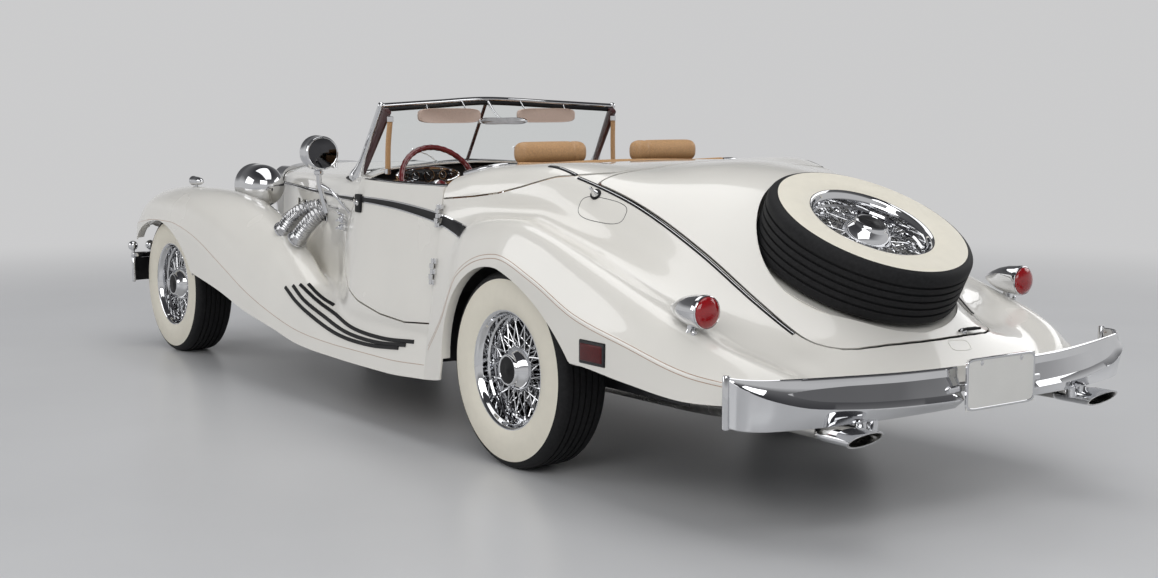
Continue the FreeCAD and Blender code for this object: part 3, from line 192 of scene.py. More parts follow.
def redLens(name):
    material, tree, shader = newMaterial(name)
    setShader(shader, Roughness=0.12, Coat_Weight=0.7, Emission_Strength=0.03,
              Emission_Color=(0.6, 0.0, 0.0, 1))
    cloud = noiseOf(tree, 320.0, 2.0)
    tree.links.new(rampOf(tree, cloud, [(0.35, (0.24, 0.003, 0.006)), (0.7, (0.34, 0.006, 0.010))]),
                   shader.inputs["Base Color"])
    bumpOf(tree, shader, cloud, 0.5, 0.0005)
    return material


def clearGlass(name):
    material, tree, shader = newMaterial(name)
    setShader(shader, Transmission_Weight=1.0, IOR=1.1, Roughness=0.0, Base_Color=(0.93, 0.95, 0.945, 1.0))
    tree.links.new(rangeOf(tree, noiseOf(tree, 6.0), 0.0, 0.012), shader.inputs["Roughness"])
    return material


def darkMirror(name):
    material, tree, shader = newMaterial(name)
    setShader(shader, Metallic=1.0)
    stops = [(0.3, (0.05, 0.05, 0.055)), (0.7, (0.08, 0.08, 0.085))]
    clouded(tree, shader, noiseOf(tree, 8.0), stops, (0.03, 0.07))
    return material


def walnut(name):
    material, tree, shader = newMaterial(name)
    setShader(shader, Coat_Weight=0.8, Coat_Roughness=0.05)
    grain = noiseOf(tree, 5.0, 6.0, 0.6, (1.0, 0.6, 9.0))
    clouded(tree, shader, grain, [(0.3, (0.055, 0.018, 0.008)), (0.55, (0.20, 0.075, 0.03)),
                                  (0.75, (0.10, 0.035, 0.014))], (0.25, 0.4))
    return material


special = {"clearGlass": clearGlass, "redLens": redLens, "darkMirror": darkMirror, "walnut": walnut}


def materialOf(name):
    if name not in madeMaterials:
        madeMaterials[name] = special.get(name, plainFinish)(name)
    return madeMaterials[name]


# A table's numbers at a station, on a smooth curve through its rows
def rowAt(rows, station):
    ordered = rows if rows[0][0] < rows[-1][0] else rows[::-1]
    last = len(ordered) - 1
    i = 0
    while i < last - 1 and station > ordered[i + 1][0]:
        i += 1
    a, b = ordered[i], ordered[i + 1]
    before, after = ordered[max(i - 1, 0)], ordered[min(i + 2, last)]
    span = b[0] - a[0]
    t = min(1.0, max(0.0, (station - a[0]) / span))
    out = []
    for c in range(1, len(a)):
        step = b[c] - a[c]
        start = (b[c] - before[c]) / (b[0] - before[0]) * span
        end = (after[c] - a[c]) / (after[0] - a[0]) * span
        start = 0.0 if step * start <= 0 else start
        end = 0.0 if step * end <= 0 else end
        h = t * t * (3 - 2 * t)
        out.append(a[c] + step * h + start * t * (1 - t) ** 2 - end * t * t * (1 - t))
    return out


# A smooth curve through points, with so many steps a stretch, and a kink at each sharp one
def sectionCurve(points, counts, sharp=()):
    pts = np.array(points, float)
    gaps = np.maximum(np.linalg.norm(np.diff(pts, axis=0), axis=1), 1e-3) ** 0.6
    slopes = np.diff(pts, axis=0) / gaps[:, None]
    intoPoint, fromPoint = [slopes[0]], [slopes[0]]
    for i in range(1, len(pts) - 1):
        into, out = slopes[i - 1], slopes[i]
        if i not in sharp:
            g0, g1 = gaps[i - 1], gaps[i]
            into = out = (into * g1 + out * g0) / (g0 + g1)
        intoPoint.append(into)
        fromPoint.append(out)
    intoPoint.append(slopes[-1])
    out = []
    for i, g in enumerate(gaps):
        t = np.linspace(0, 1, counts[i], endpoint=False)[:, None]
        out.append((2 * t ** 3 - 3 * t ** 2 + 1) * pts[i] + (t ** 3 - 2 * t ** 2 + t) * g * fromPoint[i]
                   + (-2 * t ** 3 + 3 * t ** 2) * pts[i + 1] + (t ** 3 - t ** 2) * g * intoPoint[i + 1])
    out.append(pts[-1:])
    return np.vstack(out)


def gridOf(stations, sectionAt):
    rows = [(s, sectionAt(s)) for s in stations]
    return np.array([np.column_stack([np.full(len(yz), s), yz]) for s, yz in rows])


# Distance inside an outline of corners, negative outside
def insideBy(a, b, corners):
    shape = a.shape
    a, b = a.ravel(), b.ravel()
    best = np.full(a.shape, 1e9)
    inside = np.zeros(a.shape, bool)
    for (x0, z0), (x1, z1) in zip(corners, corners[1:] + corners[:1]):
        dx, dz = x1 - x0, z1 - z0
        t = np.clip(((a - x0) * dx + (b - z0) * dz) / max(dx * dx + dz * dz, 1e-9), 0, 1)
        best = np.minimum(best, np.hypot(a - x0 - t * dx, b - z0 - t * dz))
        if z0 != z1:
            inside ^= ((z0 > b) != (z1 > b)) & (a < x0 + (b - z0) / (z1 - z0) * dx)
    return np.where(inside, best, -best).reshape(shape)


# Points on the circle through three corners
def arcThrough(a, b, c, count):
    a, b, c = np.array(a, float), np.array(b, float), np.array(c, float)
    d = 2 * (a[0] * (b[1] - c[1]) + b[0] * (c[1] - a[1]) + c[0] * (a[1] - b[1]))
    ux = ((a @ a) * (b[1] - c[1]) + (b @ b) * (c[1] - a[1]) + (c @ c) * (a[1] - b[1])) / d
    uy = ((a @ a) * (c[0] - b[0]) + (b @ b) * (a[0] - c[0]) + (c @ c) * (b[0] - a[0])) / d
    center = np.array([ux, uy])
    r = np.linalg.norm(a - center)
    angles = [math.atan2(*(p - center)[::-1]) for p in (a, b, c)]
    for i in (1, 2):
        while angles[i] - angles[i - 1] > math.pi:
            angles[i] -= 2 * math.pi
        while angles[i] - angles[i - 1] < -math.pi:
            angles[i] += 2 * math.pi
    return [(center[0] + r * math.cos(t), center[1] + r * math.sin(t))
            for t in np.linspace(angles[0], angles[2], count)]


# Grid cells where the field is positive, with the border moved exactly onto its zero line
def trimmedCells(grid, field):
    points, values = grid.copy(), field.copy()
    far = 9.0
    best = np.full(values.shape, far)
    target = points.copy()
    for axis in (0, 1):
        low = [slice(None), slice(None)]
        high = [slice(None), slice(None)]
        low[axis], high[axis] = slice(None, -1), slice(1, None)
        low, high = tuple(low), tuple(high)
        f0, f1 = field[low], field[high]
        crossing = f0 * f1 < 0
        t = np.where(crossing, f0 / np.where(crossing, f0 - f1, 1), far)
        spot = grid[low] + (grid[high] - grid[low]) * np.where(crossing, t, 0)[..., None]
        for part, move in ((low, t), (high, np.where(crossing, 1 - t, far))):
            better = crossing & (move <= 0.5) & (move < best[part])
            best[part] = np.where(better, move, best[part])
            target[part] = np.where(better[..., None], spot, target[part])
    snapped = best < far
    points[snapped] = target[snapped]
    values[snapped] = 0.0
    index = np.arange(values.size).reshape(values.shape)
    a, b, c, d = index[:-1, :-1], index[1:, :-1], index[1:, 1:], index[:-1, 1:]
    corners = np.stack([a, b, c, d], -1).reshape(-1, 4)
    sign = np.sign(values.ravel()[corners])
    middle = field.ravel()[corners].mean(axis=1)
    whole = ((sign >= 0).all(axis=1)) & ((sign > 0).any(axis=1) | (middle > 0))
    faces = corners[whole].tolist()
    mixed = (sign > 0).any(axis=1) & (sign < 0).any(axis=1)
    for q, s in zip(corners[mixed].tolist(), sign[mixed]):
        cuts = ((0, 1, 2), 1), ((0, 2, 3), 3)
        if s[0] != 0 or s[2] != 0:
            cuts = ((1, 2, 3), 2), ((0, 1, 3), 0)
        for triple, tip in cuts:
            if s[tip] > 0:
                faces.append([q[k] for k in triple])
    return points.reshape(-1, 3), faces


# Only the points that the faces use, with their extra numbers
def compact(points, faces, extra):
    used = sorted({i for face in faces for i in face})
    number = {old: new for new, old in enumerate(used)}
    return points[used], [[number[i] for i in face] for face in faces], extra[used]


def normalsOf(points, faces):
    normals = np.zeros_like(points)
    for face in faces:
        p = points[face]
        n = np.cross(p[1] - p[0], p[2] - p[0])
        if len(face) == 4:
            n = n + np.cross(p[2] - p[0], p[3] - p[0])
        for i in face:
            normals[i] += n
    size = np.linalg.norm(normals, axis=1)
    return normals / np.maximum(size, 1e-12)[:, None]


# A sheet of metal: the outer face, the inner face a thickness behind it, and the rim between
def shellArrays(points, faces, thickness):
    normals = normalsOf(points, faces)
    inner = points - normals * np.asarray(thickness).reshape(-1, 1)
    n = len(points)
    edges = {}
    for face in faces:
        for i, j in zip(face, face[1:] + face[:1]):
            edges[(i, j)] = edges.get((i, j), 0) + 1
    rim = [[j, i, i + n, j + n] for (i, j) in edges if (j, i) not in edges]
    back = [[i + n for i in reversed(face)] for face in faces]
    return np.vstack([points, inner]), faces + back + rim


def meshObject(name, points, faces, material, sharpAngle=40.0, scale=0.001, smooth=True, marks=None):
    mesh = bpy.data.meshes.new(name)
    mesh.from_pydata([tuple(p) for p in (np.asarray(points) * scale)], [], faces)
    for one in material if isinstance(material, list) else [material]:
        if one:
            mesh.materials.append(one)
    if marks:
        mesh.polygons.foreach_set("material_index", marks)
        bm = bmesh.new()
        bm.from_mesh(mesh)
        bmesh.ops.recalc_face_normals(bm, faces=bm.faces)
        bm.to_mesh(mesh)
        bm.free()
    mesh.update()
    mesh.validate()
    if smooth:
        mesh.polygons.foreach_set("use_smooth", [True] * len(mesh.polygons))
        mesh.set_sharp_from_angle(angle=math.radians(sharpAngle))
    obj = bpy.data.objects.new(name, mesh)
    bpy.context.scene.collection.objects.link(obj)
    return obj


def toCar(points):
    out = np.array(points, float)
    out[:, 0] += car["rearAxle"]
    return out


def mirrorArrays(points, faces):
    return points * np.array([1, -1, 1]), [face[::-1] for face in faces]


def finished(obj, body, nodes=()):
    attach(obj, body)
    if nodes:
        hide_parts(*nodes)
    return obj


# The body's surfaces, each a table of its sections along the car
# Columns: station, top z, strip y, z, shoulder y, z, valley y, z
tailRows = [
    (497, 1003, 655, 984, 700, 945, 716, 860), (350, 1034, 640, 1012, 686, 962, 702, 866),
    (200, 1045, 625, 1024, 670, 962, 684, 870), (-44, 1055, 600, 1033, 648, 955, 664, 874),
    (-223, 1058, 570, 1000, 622, 918, 652, 828), (-445, 1055, 530, 925, 590, 845, 642, 765),
    (-689, 1000, 480, 796, 563, 735, 640, 682), (-917, 860, 430, 645, 520, 612, 622, 600),
    (-1063, 720, 400, 556, 490, 537, 590, 530), (-1200, 560, 370, 505, 450, 490, 530, 478),
    (-1300, 452, 330, 436, 395, 430, 450, 426)]
# Columns: station, fender middle y, z, crease y, z, edge y, z
fenderRows = [
    (497, 752, 630, 792, 345, 803, 245), (380, 757, 715, 799, 480, 808, 260),
    (260, 757, 815, 804, 660, 812, 300), (0, 753, 856, 810, 742, 816, 400),
    (-223, 754, 822, 815, 684, 820, 420), (-470, 748, 736, 819, 588, 822, 436),
    (-740, 741, 645, 817, 530, 818, 412), (-990, 728, 568, 800, 476, 802, 392),
    (-1160, 672, 512, 752, 456, 755, 398), (-1262, 580, 462, 660, 434, 662, 402),
    (-1300, 500, 424, 560, 410, 562, 396)]
# Columns: station, top y, z, middle y, z, low y, z
flankRows = [
    (497, 706, 954, 737, 660, 770, 440), (850, 700, 951, 729, 660, 765, 440),
    (1170, 690, 958, 716, 660, 752, 450), (1350, 652, 962, 672, 690, 700, 470),
    (1520, 613, 965, 622, 700, 640, 490), (2100, 462, 930, 476, 715, 490, 555),
    (2720, 299, 920, 306, 737, 312, 600), (3000, 330, 600, 330, 600, 330, 600),
    (3280, 375, 600, 375, 600, 375, 600), (3490, 420, 590, 420, 590, 420, 590),
    (3620, 485, 580, 485, 580, 485, 580), (3665, 540, 590, 540, 590, 540, 590)]
# Columns: station, inner middle y, z, crest y, z, outer middle y, z, crease y, z, edge y, z
wingRows = [
    (497, 770, 402, 776, 372, 786, 328, 795, 292, 803, 245),
    (770, 767, 400, 773, 370, 785, 320, 796, 277, 804, 230),
    (1210, 753, 410, 765, 378, 782, 322, 796, 277, 804, 232),
    (1560, 665, 484, 725, 455, 771, 385, 796, 294, 804, 246),
    (1810, 603, 592, 690, 577, 757, 470, 796, 337, 804, 286),
    (2100, 555, 684, 660, 704, 746, 585, 794, 410, 803, 330),
    (2390, 505, 765, 640, 790, 742, 685, 791, 512, 801, 394),
    (2700, 465, 802, 630, 836, 746, 762, 788, 618, 798, 446),
    (3000, 455, 795, 622, 846, 750, 780, 785, 672, 792, 500),
    (3280, 470, 775, 614, 833, 738, 772, 776, 668, 781, 520),
    (3490, 495, 735, 612, 796, 722, 740, 764, 642, 767, 540),
    (3620, 532, 660, 614, 705, 692, 678, 732, 618, 735, 560),
    (3665, 568, 616, 616, 636, 665, 624, 690, 602, 692, 578)]
# Columns: station, belt y, turn y, turn z, crown y, crown z, middle z
bonnetRows = [
    (1170, 692, 668, 940, 580, 980, 1004), (1520, 613, 590, 935, 510, 968, 1000),
    (2100, 463, 447, 928, 375, 953, 984), (2720, 300, 288, 915, 225, 938, 963)]
doorOutline = [
    (497, 1000), (497, 447), (700, 430), (900, 440), (1100, 472), (1230, 512),
    (1320, 562), (1368, 620), (1372, 680), (1310, 780), (1240, 872), (1168, 970), (1166, 1000)]
hoodLine = [(497, 908), (325, 923), (192, 940), (65, 967), (-88, 1007), (-244, 1022)]
lidOutline = [(-256, 566), (-445, 530), (-689, 480), (-917, 430), (-1000, 412), (-1063, 398), (-1112, 384),
              (-1150, 364), (-1180, 334), (-1200, 290), (-1214, 220), (-1224, 130), (-1229, 40)]
rearArch = ([(392, 150), (362, 340)] + arcThrough((362, 340), (255, 616), (-10, 700), 16)[1:]
            + arcThrough((-10, 700), (-235, 610), (-462, 425), 16)[1:] + [(-640, 150)])
frontArch = ([(3640, 100), (3560, 560)] + arcThrough((3560, 560), (3400, 640), (3160, 672), 14)[1:]
             + arcThrough((3160, 672), (2925, 600), (2719, 437), 14)[1:] + [(2640, 100)])
spare = {"station": -975.0, "faceZ": 894.0, "tilt": 26.4, "reach": 356.0, "depth": 205.0}
vent = {"count": 5, "first": 1720.0, "pitch": 150.0, "long": 75.0, "low": 745.0, "high": 815.0}
belt = 874.0


def rearSection(s):
    top, ys, zs, y1, z1, yv, zv = rowAt(tailRows, s)
    ym, zm, yo, zo, ye, ze = rowAt(fenderRows, s)
    half = [(ys * 0.5, top - (top - zs) * 0.25), (ys, zs), (y1, z1), (yv, zv), (ym, zm), (yo, zo), (ye, ze)]
    points = [(-y, z) for y, z in reversed(half)] + [(0, top)] + half
    return sectionCurve(points, [12, 12, 10, 8, 8, 16, 16, 16, 16, 8, 8, 10, 12, 12], sharp=(1, 13))


def flankSection(s):
    yt, zt, ym, zm, yb, zb = rowAt(flankRows, s)
    y1, z1, yc, zc, y2, z2, yo, zo, ye, ze = rowAt(wingRows, s)
    points = [(yt, zt), (ym, zm), (yb, zb), (y1, z1), (yc, zc), (y2, z2), (yo, zo), (ye, ze)]
    return sectionCurve(points, [24, 18, 9, 10, 10, 8, 8], sharp=(6,))


def bonnetSection(s):
    yb, yt, zt, yc, zc, zm = rowAt(bonnetRows, s)
    half = [(yc * 0.5, zm - (zm - zc) * 0.27), (yc, zc), (yt, zt), (yb, belt)]
    points = [(-y, z) for y, z in reversed(half)] + [(0, zm)] + half
    return sectionCurve(points, [8, 8, 14, 14, 14, 14, 8, 8])


def spareAxis():
    tilt = math.radians(spare["tilt"])
    return np.array([-math.sin(tilt), 0.0, math.cos(tilt)])


# A panel of sheet metal from the grid cells where the field is positive
def fromGrid(grid, field, thickness, flip=False):
    points, faces = trimmedCells(grid, field)
    if flip:
        faces = [face[::-1] for face in faces]
    wall = np.broadcast_to(np.asarray(thickness, float), field.shape).ravel()
    points, faces = shellArrays(*compact(points, faces, wall))
    return toCar(points), faces


def panelObject(name, arrays, body, nodes, material="ivoryPaint", mirror=False):
    points, faces = mirrorArrays(*arrays) if mirror else arrays
    return finished(meshObject(name, points, faces, materialOf(material)), body, nodes)


tailCuts = {"hoodHalf": 760, "lidLow": 470, "cockpit": [(335, -596), (335, 596), (900, 596), (900, -596)]}


def makeTail():
    grid = gridOf(np.concatenate([np.linspace(497, -1262, 150), [-1275, -1287, -1296]]), rearSection)
    s, y, z = grid[..., 0], grid[..., 1], grid[..., 2]
    gap, sheet = car["panelGap"], car["sheet"]
    hood = insideBy(s, z, hoodLine + [(-244, 1300), (900, 1300), (900, 908)])
    hood = np.minimum(hood, tailCuts["hoodHalf"] - np.abs(y))
    cockpit = insideBy(s, y, tailCuts["cockpit"])
    lid = insideBy(s, y, lidOutline + [(a, -b) for a, b in reversed(lidOutline)])
    lid = np.where(z > tailCuts["lidLow"], lid, -50.0)
    arch = insideBy(s, z, rearArch)
    axis = spareAxis()
    offset = grid - np.array([spare["station"], 0, spare["faceZ"]])
    along = offset @ axis
    radial = np.linalg.norm(offset - along[..., None] * axis, axis=-1)
    pocket = np.maximum(radial - spare["reach"], -spare["depth"] - along)
    for name, field, body, nodes in (
            ("tailBody", np.minimum.reduce([-hood, -lid, -arch, -cockpit]), "car_body",
             ("rear_body", "rear_fender_left", "rear_fender_right")),
            ("hoodCover", np.minimum(hood - gap, -cockpit), "hood_cover", ("hood_cover",)),
            ("bootLid", np.minimum(lid - gap, pocket), "trunk_lid", ("trunk_lid",))):
        panelObject(name, fromGrid(grid, field, sheet, True), body, nodes)
    return grid


# Columns of the flank grid: end of the upper wall, start of the wing, end of the door
flankColumns = {"upper": 24, "wing": 42, "door": 45}
# Where the bonnet ends, the metal turned in around the door, and the front wheel's room
flankCuts = {"bonnetEnd": 2720, "doorRim": 38, "rimReach": 90.0, "rimEnd": 1480,
             "steerRear": 3385, "steerFront": 3600, "steerY": 478, "steerZ": 712, "archY": 700}


def makeFlanks():
    stations = np.concatenate([np.linspace(497, 2716, 185), np.linspace(2728, 3600, 75),
                               np.linspace(3612, 3665, 9)])
    grid = gridOf(stations, flankSection)
    tip = grid[-1].copy()
    middle = tip[flankColumns["wing"]:].mean(axis=0)
    caps = []
    for shrink, lead in ((0.9, 6), (0.72, 12), (0.45, 17), (0.2, 19)):
        row = middle + (tip - middle) * shrink
        row[:, 0] = tip[:, 0] + lead
        caps.append(row)
    grid = np.concatenate([grid, np.array(caps)])
    s, y, z = grid[..., 0], grid[..., 1], grid[..., 2]
    cut, outside = flankCuts, -60.0
    column = np.broadcast_to(np.arange(grid.shape[1]), s.shape)
    door = np.where(column < flankColumns["door"], insideBy(s, z, doorOutline), -40.0)
    arch = np.where(y > cut["archY"], insideBy(s, z, frontArch), outside)
    nose = np.where(s > cut["bonnetEnd"], (column - flankColumns["wing"] + 0.5) * 6.0, -outside)
    steerRoom = np.minimum.reduce([s - cut["steerRear"], cut["steerFront"] - s, cut["steerY"] - y,
                                   cut["steerZ"] - z])
    vents = np.full(s.shape, outside)
    for i in range(vent["count"]):
        start = vent["first"] + vent["pitch"] * i
        slot = np.minimum.reduce([s - start, start + vent["long"] - s, z - vent["low"], vent["high"] - z])
        vents = np.maximum(vents, slot)
    vents = np.where(column < flankColumns["upper"], vents, outside)
    low = np.minimum.reduce([belt - 3 - z, -door, -arch, nose, -steerRoom, -vents])
    near = np.clip(1 - np.abs(door) / cut["rimReach"], 0, 1) * (s < cut["rimEnd"])
    wall = car["sheet"] + cut["doorRim"] * near
    for side in ("left", "right"):
        mirror = side == "right"
        panelObject("flank" + side.title(), fromGrid(grid, low, wall), "car_body",
                    ("side_walls", "front_wing_" + side, "bonnet_side_" + side), mirror=mirror)
        panel = fromGrid(grid, door - car["panelGap"], car["sheet"] + cut["doorRim"])
        panelObject("door" + side.title(), panel, "door_" + side, ("door_" + side,),
                    mirror=mirror)
    return grid


bonnet = {"rear": 1520, "middleGap": 13.0, "sheet": 3.0}


def makeBonnet():
    grid = gridOf(np.linspace(1170, 2714, 130), bonnetSection)
    s, y, z = grid[..., 0], grid[..., 1], grid[..., 2]
    gap, rear = car["panelGap"], bonnet["rear"]
    for side, sign in (("left", 1), ("right", -1)):
        half = np.minimum.reduce([s - rear - gap, y * sign - bonnet["middleGap"], z - belt - gap / 2])
        panelObject("bonnet" + side.title(), fromGrid(grid, half, bonnet["sheet"], True),
                    "bonnet_" + side, ("bonnet_" + side,))
    door = insideBy(s, z, doorOutline)
    scoop = insideBy(s, y, [(1100, -560), (1270, -560), (1400, -200), (1420, 0), (1400, 200),
                            (1270, 560), (1100, 560)])
    cowl = np.minimum.reduce([rear - s, -door, -scoop, z - belt])
    panelObject("cowlTop", fromGrid(grid, cowl, car["sheet"], True), "car_body", ())


# Small mesh shapes, all in millimetres of the car frame
def ringMesh(rings, cap=True, loop=False):
    rings = np.asarray(rings, float)
    count, sides = rings.shape[:2]
    faces = []
    for i in range(count if loop else count - 1):
        a, b = i * sides, (i + 1) % count * sides
        faces += [[a + j, a + (j + 1) % sides, b + (j + 1) % sides, b + j] for j in range(sides)]
    if cap and not loop:
        faces.append(list(range(sides))[::-1])
        faces.append([(count - 1) * sides + j for j in range(sides)])
    return rings.reshape(-1, 3), faces


# A rounded rectangle about the middle: the smaller the two powers, the squarer it is
def roundedLoop(halfWide, halfHigh, widePower, highPower, count):
    loop = []
    for t in turns(count):
        c, s = math.cos(t), math.sin(t)
        loop.append((np.sign(c) * abs(c) ** widePower * halfWide,
                     np.sign(s) * abs(s) ** highPower * halfHigh))
    return loop


origin, ahead, outward, upward, rearward = (0, 0, 0), (1, 0, 0), (0, 1, 0), (0, 0, 1), (-1, 0, 0)


def basisOf(axis):
    axis = np.array(axis, float)
    axis /= np.linalg.norm(axis)
    other = np.array([0, 0, 1.0]) if abs(axis[2]) < 0.9 else np.array([1.0, 0, 0])
    u = np.cross(other, axis)
    u /= np.linalg.norm(u)
    return axis, u, np.cross(axis, u)


# A profile of distances along an axis and radii, turned about that axis
def lathe(profile, center, axis, sides=48, loop=False, flat=1.0):
    axis, u, v = basisOf(axis)
    turn = turns(sides)[:, None]
    circle = np.cos(turn) * u + np.sin(turn) * v * flat
    rings = [np.array(center, float) + a * axis + max(r, 0.05) * circle for a, r in profile]
    return ringMesh(rings, True, loop)


def curveThrough(points, step):
    points = np.array(points, float)
    if len(points) == 2:
        count = max(1, int(np.linalg.norm(points[1] - points[0]) / step))
        return np.array([points[0] + (points[1] - points[0]) * t for t in np.linspace(0, 1, count + 1)])
    counts = [max(1, int(round(d / step))) for d in np.linalg.norm(np.diff(points, axis=0), axis=1)]
    return sectionCurve(points, counts)


def unitTangents(path):
    tangents = np.gradient(path, axis=0)
    return tangents / np.linalg.norm(tangents, axis=1)[:, None]


# A tube along a path, flattened across the up direction
def tube(path, radius, sides=14, flat=1.0, up=(0, 0, 1)):
    path = np.asarray(path, float)
    radii = np.broadcast_to(np.asarray(radius, float), (len(path),))
    tangents = unitTangents(path)
    up = np.array(up, float)
    if abs(up @ tangents[0]) > 0.95:
        up = np.array([1.0, 0, 0])
    turn = turns(sides)[:, None]
    rings = []
    for p, t, r in zip(path, tangents, radii):
        side = np.cross(up, t)
        side /= np.linalg.norm(side)
        up = np.cross(t, side)
        rings.append(p + r * (np.cos(turn) * side + np.sin(turn) * up * flat))
    return ringMesh(rings)


# A block with rounded edges
def block(low, high, bevel, segments=3):
    low, high = np.array(low, float), np.array(high, float)
    bm = bmesh.new()
    bmesh.ops.create_cube(bm, size=1.0)
    for vert in bm.verts:
        vert.co = Vector(np.array(vert.co) * (high - low))
    bmesh.ops.bevel(bm, geom=bm.edges[:], offset=bevel, segments=segments, affect="EDGES", profile=0.5)
    bm.verts.index_update()
    points = np.array([vert.co[:] for vert in bm.verts])
    faces = [[vert.index for vert in face.verts] for face in bm.faces]
    bm.free()
    return points + (low + high) / 2, faces


# One object from several arrays, each with its finish: chrome where none is named
def assembled(name, parts, body, nodes=(), sharp=38.0, mirror=False):
    points, faces, marks, names, base = [], [], [], [], 0
    for p, f, *look in parts:
        material = look[0] if look else "chromePlate"
        if material not in names:
            names.append(material)
        points.append(p * np.array([1, -1, 1]) if mirror else p)
        faces += [[i + base for i in face] for face in f]
        marks += [names.index(material)] * len(f)
        base += len(p)
    obj = meshObject(name, np.vstack(points), faces, [materialOf(n) for n in names], sharp, marks=marks)
    return finished(obj, body, nodes)


def bothSides(name, parts, body, nodes=()):
    for side in ("Left", "Right"):
        rider = body + "_" + side.lower() if body == "door" else body
        assembled(name + side, parts, rider, nodes, mirror=side == "Right")


# Things that lie on the body surface are laid there through a tree of its faces
def surfaceTree(grid):
    points = toCar(grid.reshape(-1, 3))
    rows, columns = grid.shape[:2]
    faces = []
    for i in range(rows - 1):
        a = i * columns
        faces += [(a + j, a + j + 1, a + columns + j + 1, a + columns + j) for j in range(columns - 1)]
    return BVHTree.FromPolygons([Vector(p) for p in points], faces)


def onSurface(tree, points):
    spots, normals = [], []
    for p in points:
        spot, normal = tree.find_nearest(Vector(p))[:2]
        if normal.y * spot.y + normal.z * (spot.z - 400) < 0:
            normal = -normal
        spots.append(spot[:])
        normals.append(normal[:])
    return np.array(spots), np.array(normals)


def stationPath(points, step=14.0):
    return curveThrough([(carX(s), y, z) for s, y, z in points], step)


def ribbon(tree, path, width, lift, sink=2.0, loop=False):
    spots, normals = onSurface(tree, path)
    if loop:
        tangents = np.roll(spots, -1, axis=0) - np.roll(spots, 1, axis=0)
    else:
        tangents = np.gradient(spots, axis=0)
    across = np.cross(tangents, normals)
    across /= np.maximum(np.linalg.norm(across, axis=1), 1e-9)[:, None]
    half = np.broadcast_to(np.asarray(width, float), (len(spots),))[:, None] / 2
    rings = [spots + across * half * k + normals * h for k, h in
             ((-1, -sink), (-1, lift * 0.5), (-0.7, lift), (0.7, lift), (1, lift * 0.5), (1, -sink))]
    return ringMesh(np.stack(rings, axis=1), True, loop)


# Wire wheels and their tyres, turned about their own middle
wheelShape = {"wall": 317.0, "lip": 209.0, "grooves": (-50, -25, 0, 25, 50), "spokes": 18, "hub": 80.0,
              "cap": 52.0, "face": 101.5}


def tyreParts():
    wall, lip = wheelShape["wall"], wheelShape["lip"]
    front = [(84, 201), (88, lip - 2), (95, 222), (100, 240), (101.5, 258), (100.5, 285), (97.5, 306),
             (95.5, wall)]
    shoulder = [(94.5, wall + 0.6), (92, 326), (86, 335), (78, 341), (70, 343.5)]
    tread = []
    for g in sorted(wheelShape["grooves"], reverse=True):
        tread += [(g + 4.0, 344), (g + 3.2, 337), (g - 3.2, 337), (g - 4.0, 344)]
    back = [(-a, r) for a, r in reversed(front + shoulder)]
    whole = front + shoulder + tread + back + [(-80, 199), (80, 199)]
    points, faces = lathe(whole[::-1], origin, ahead, 112, True)
    cream, black = [], []
    for face in faces:
        p = points[face].mean(axis=0)
        pale = p[0] > 85 and lip - 5 < math.hypot(p[1], p[2]) < wall
        (cream if pale else black).append(face)
    return points, cream, black


def rimParts():
    lip, hub, cap = wheelShape["lip"], wheelShape["hub"], wheelShape["cap"]
    parts = [lathe([(20, 176), (18, 182), (40, 184), (46, 189), (66, 191), (72, 196), (82, 198), (87, 202),
                    (90, 206), (90, lip), (86, lip + 2), (82, lip), (76, 202), (40, 199.5), (-40, 199.5),
                    (-84, 201), (-86, 196), (-60, 184), (-20, 174), (10, 172)][::-1], origin, ahead, 96,
                   True)]
    parts.append(lathe([(-38, 18.6), (-38, 64), (-30, 70), (-24, 66), (24, 66), (30, hub), (38, hub + 2),
                        (44, hub), (62, hub - 7), (74, cap + 8), (80, cap + 5), (86, cap + 3), (89, cap),
                        (88.6, cap - 4), (86, cap - 6), (86, 0)], origin, ahead, 64))
    parts.append((*lathe([(80, cap - 5), (86.6, cap - 5), (87.2, cap - 8), (87.4, 16), (88.6, 14), (90, 0)],
                         origin, ahead, 48), "blackStrip"))
    count, rimRadius = wheelShape["spokes"], 178
    for row, (hubAlong, hubRadius, rimAlong, lean) in enumerate((
            (40, hub - 5, 30, 22), (40, hub - 5, 30, -22), (-30, 66, 8, 17), (-30, 66, 8, -17))):
        for i in range(count):
            a = 2 * math.pi * (i + 0.5 * (row // 2)) / count
            b = a + math.radians(lean)
            inner = np.array([hubAlong, hubRadius * math.cos(a), hubRadius * math.sin(a)])
            outer = np.array([rimAlong, rimRadius * math.cos(b), rimRadius * math.sin(b)])
            nipple = outer + (inner - outer) * 0.09
            path = [inner, inner + (nipple - inner) * 0.98, nipple, outer]
            parts.append(tube(path, [2.3, 2.3, 4.0, 4.4], 6))
    return parts


def placed(points, center, axis):
    return np.array(center) + points @ np.array(basisOf(axis))


def makeWheels():
    points, cream, black = tyreParts()
    rim = rimParts()
    lay = spareAxis()
    middle = np.array([carX(spare["station"]), 0, spare["faceZ"]]) - lay * wheelShape["face"]
    height = car["tyreRadius"]
    places = []
    for end in ("front", "rear"):
        x, y = car[end + "Axle"], car[end + "WheelY"]
        places += [(end + "_left", (x, y, height), (0, 1, 0)), (end + "_right", (x, -y, height), (0, -1, 0))]
    for name, center, axis in places + [("spare", middle, lay)]:
        body = "trunk_lid" if name == "spare" else "wheel_" + name
        spots = placed(points, center, axis)
        tag = "".join(word.title() for word in name.split("_"))
        assembled("tyre" + tag, [(spots, black, "treadRubber"), (spots, cream, "creamWall")], body,
                  ("tyre_" + name,), 30)
        assembled("wheel" + tag, [(placed(p, center, axis), *rest) for p, *rest in rim], body,
                  ("wheel_" + name,), 34)


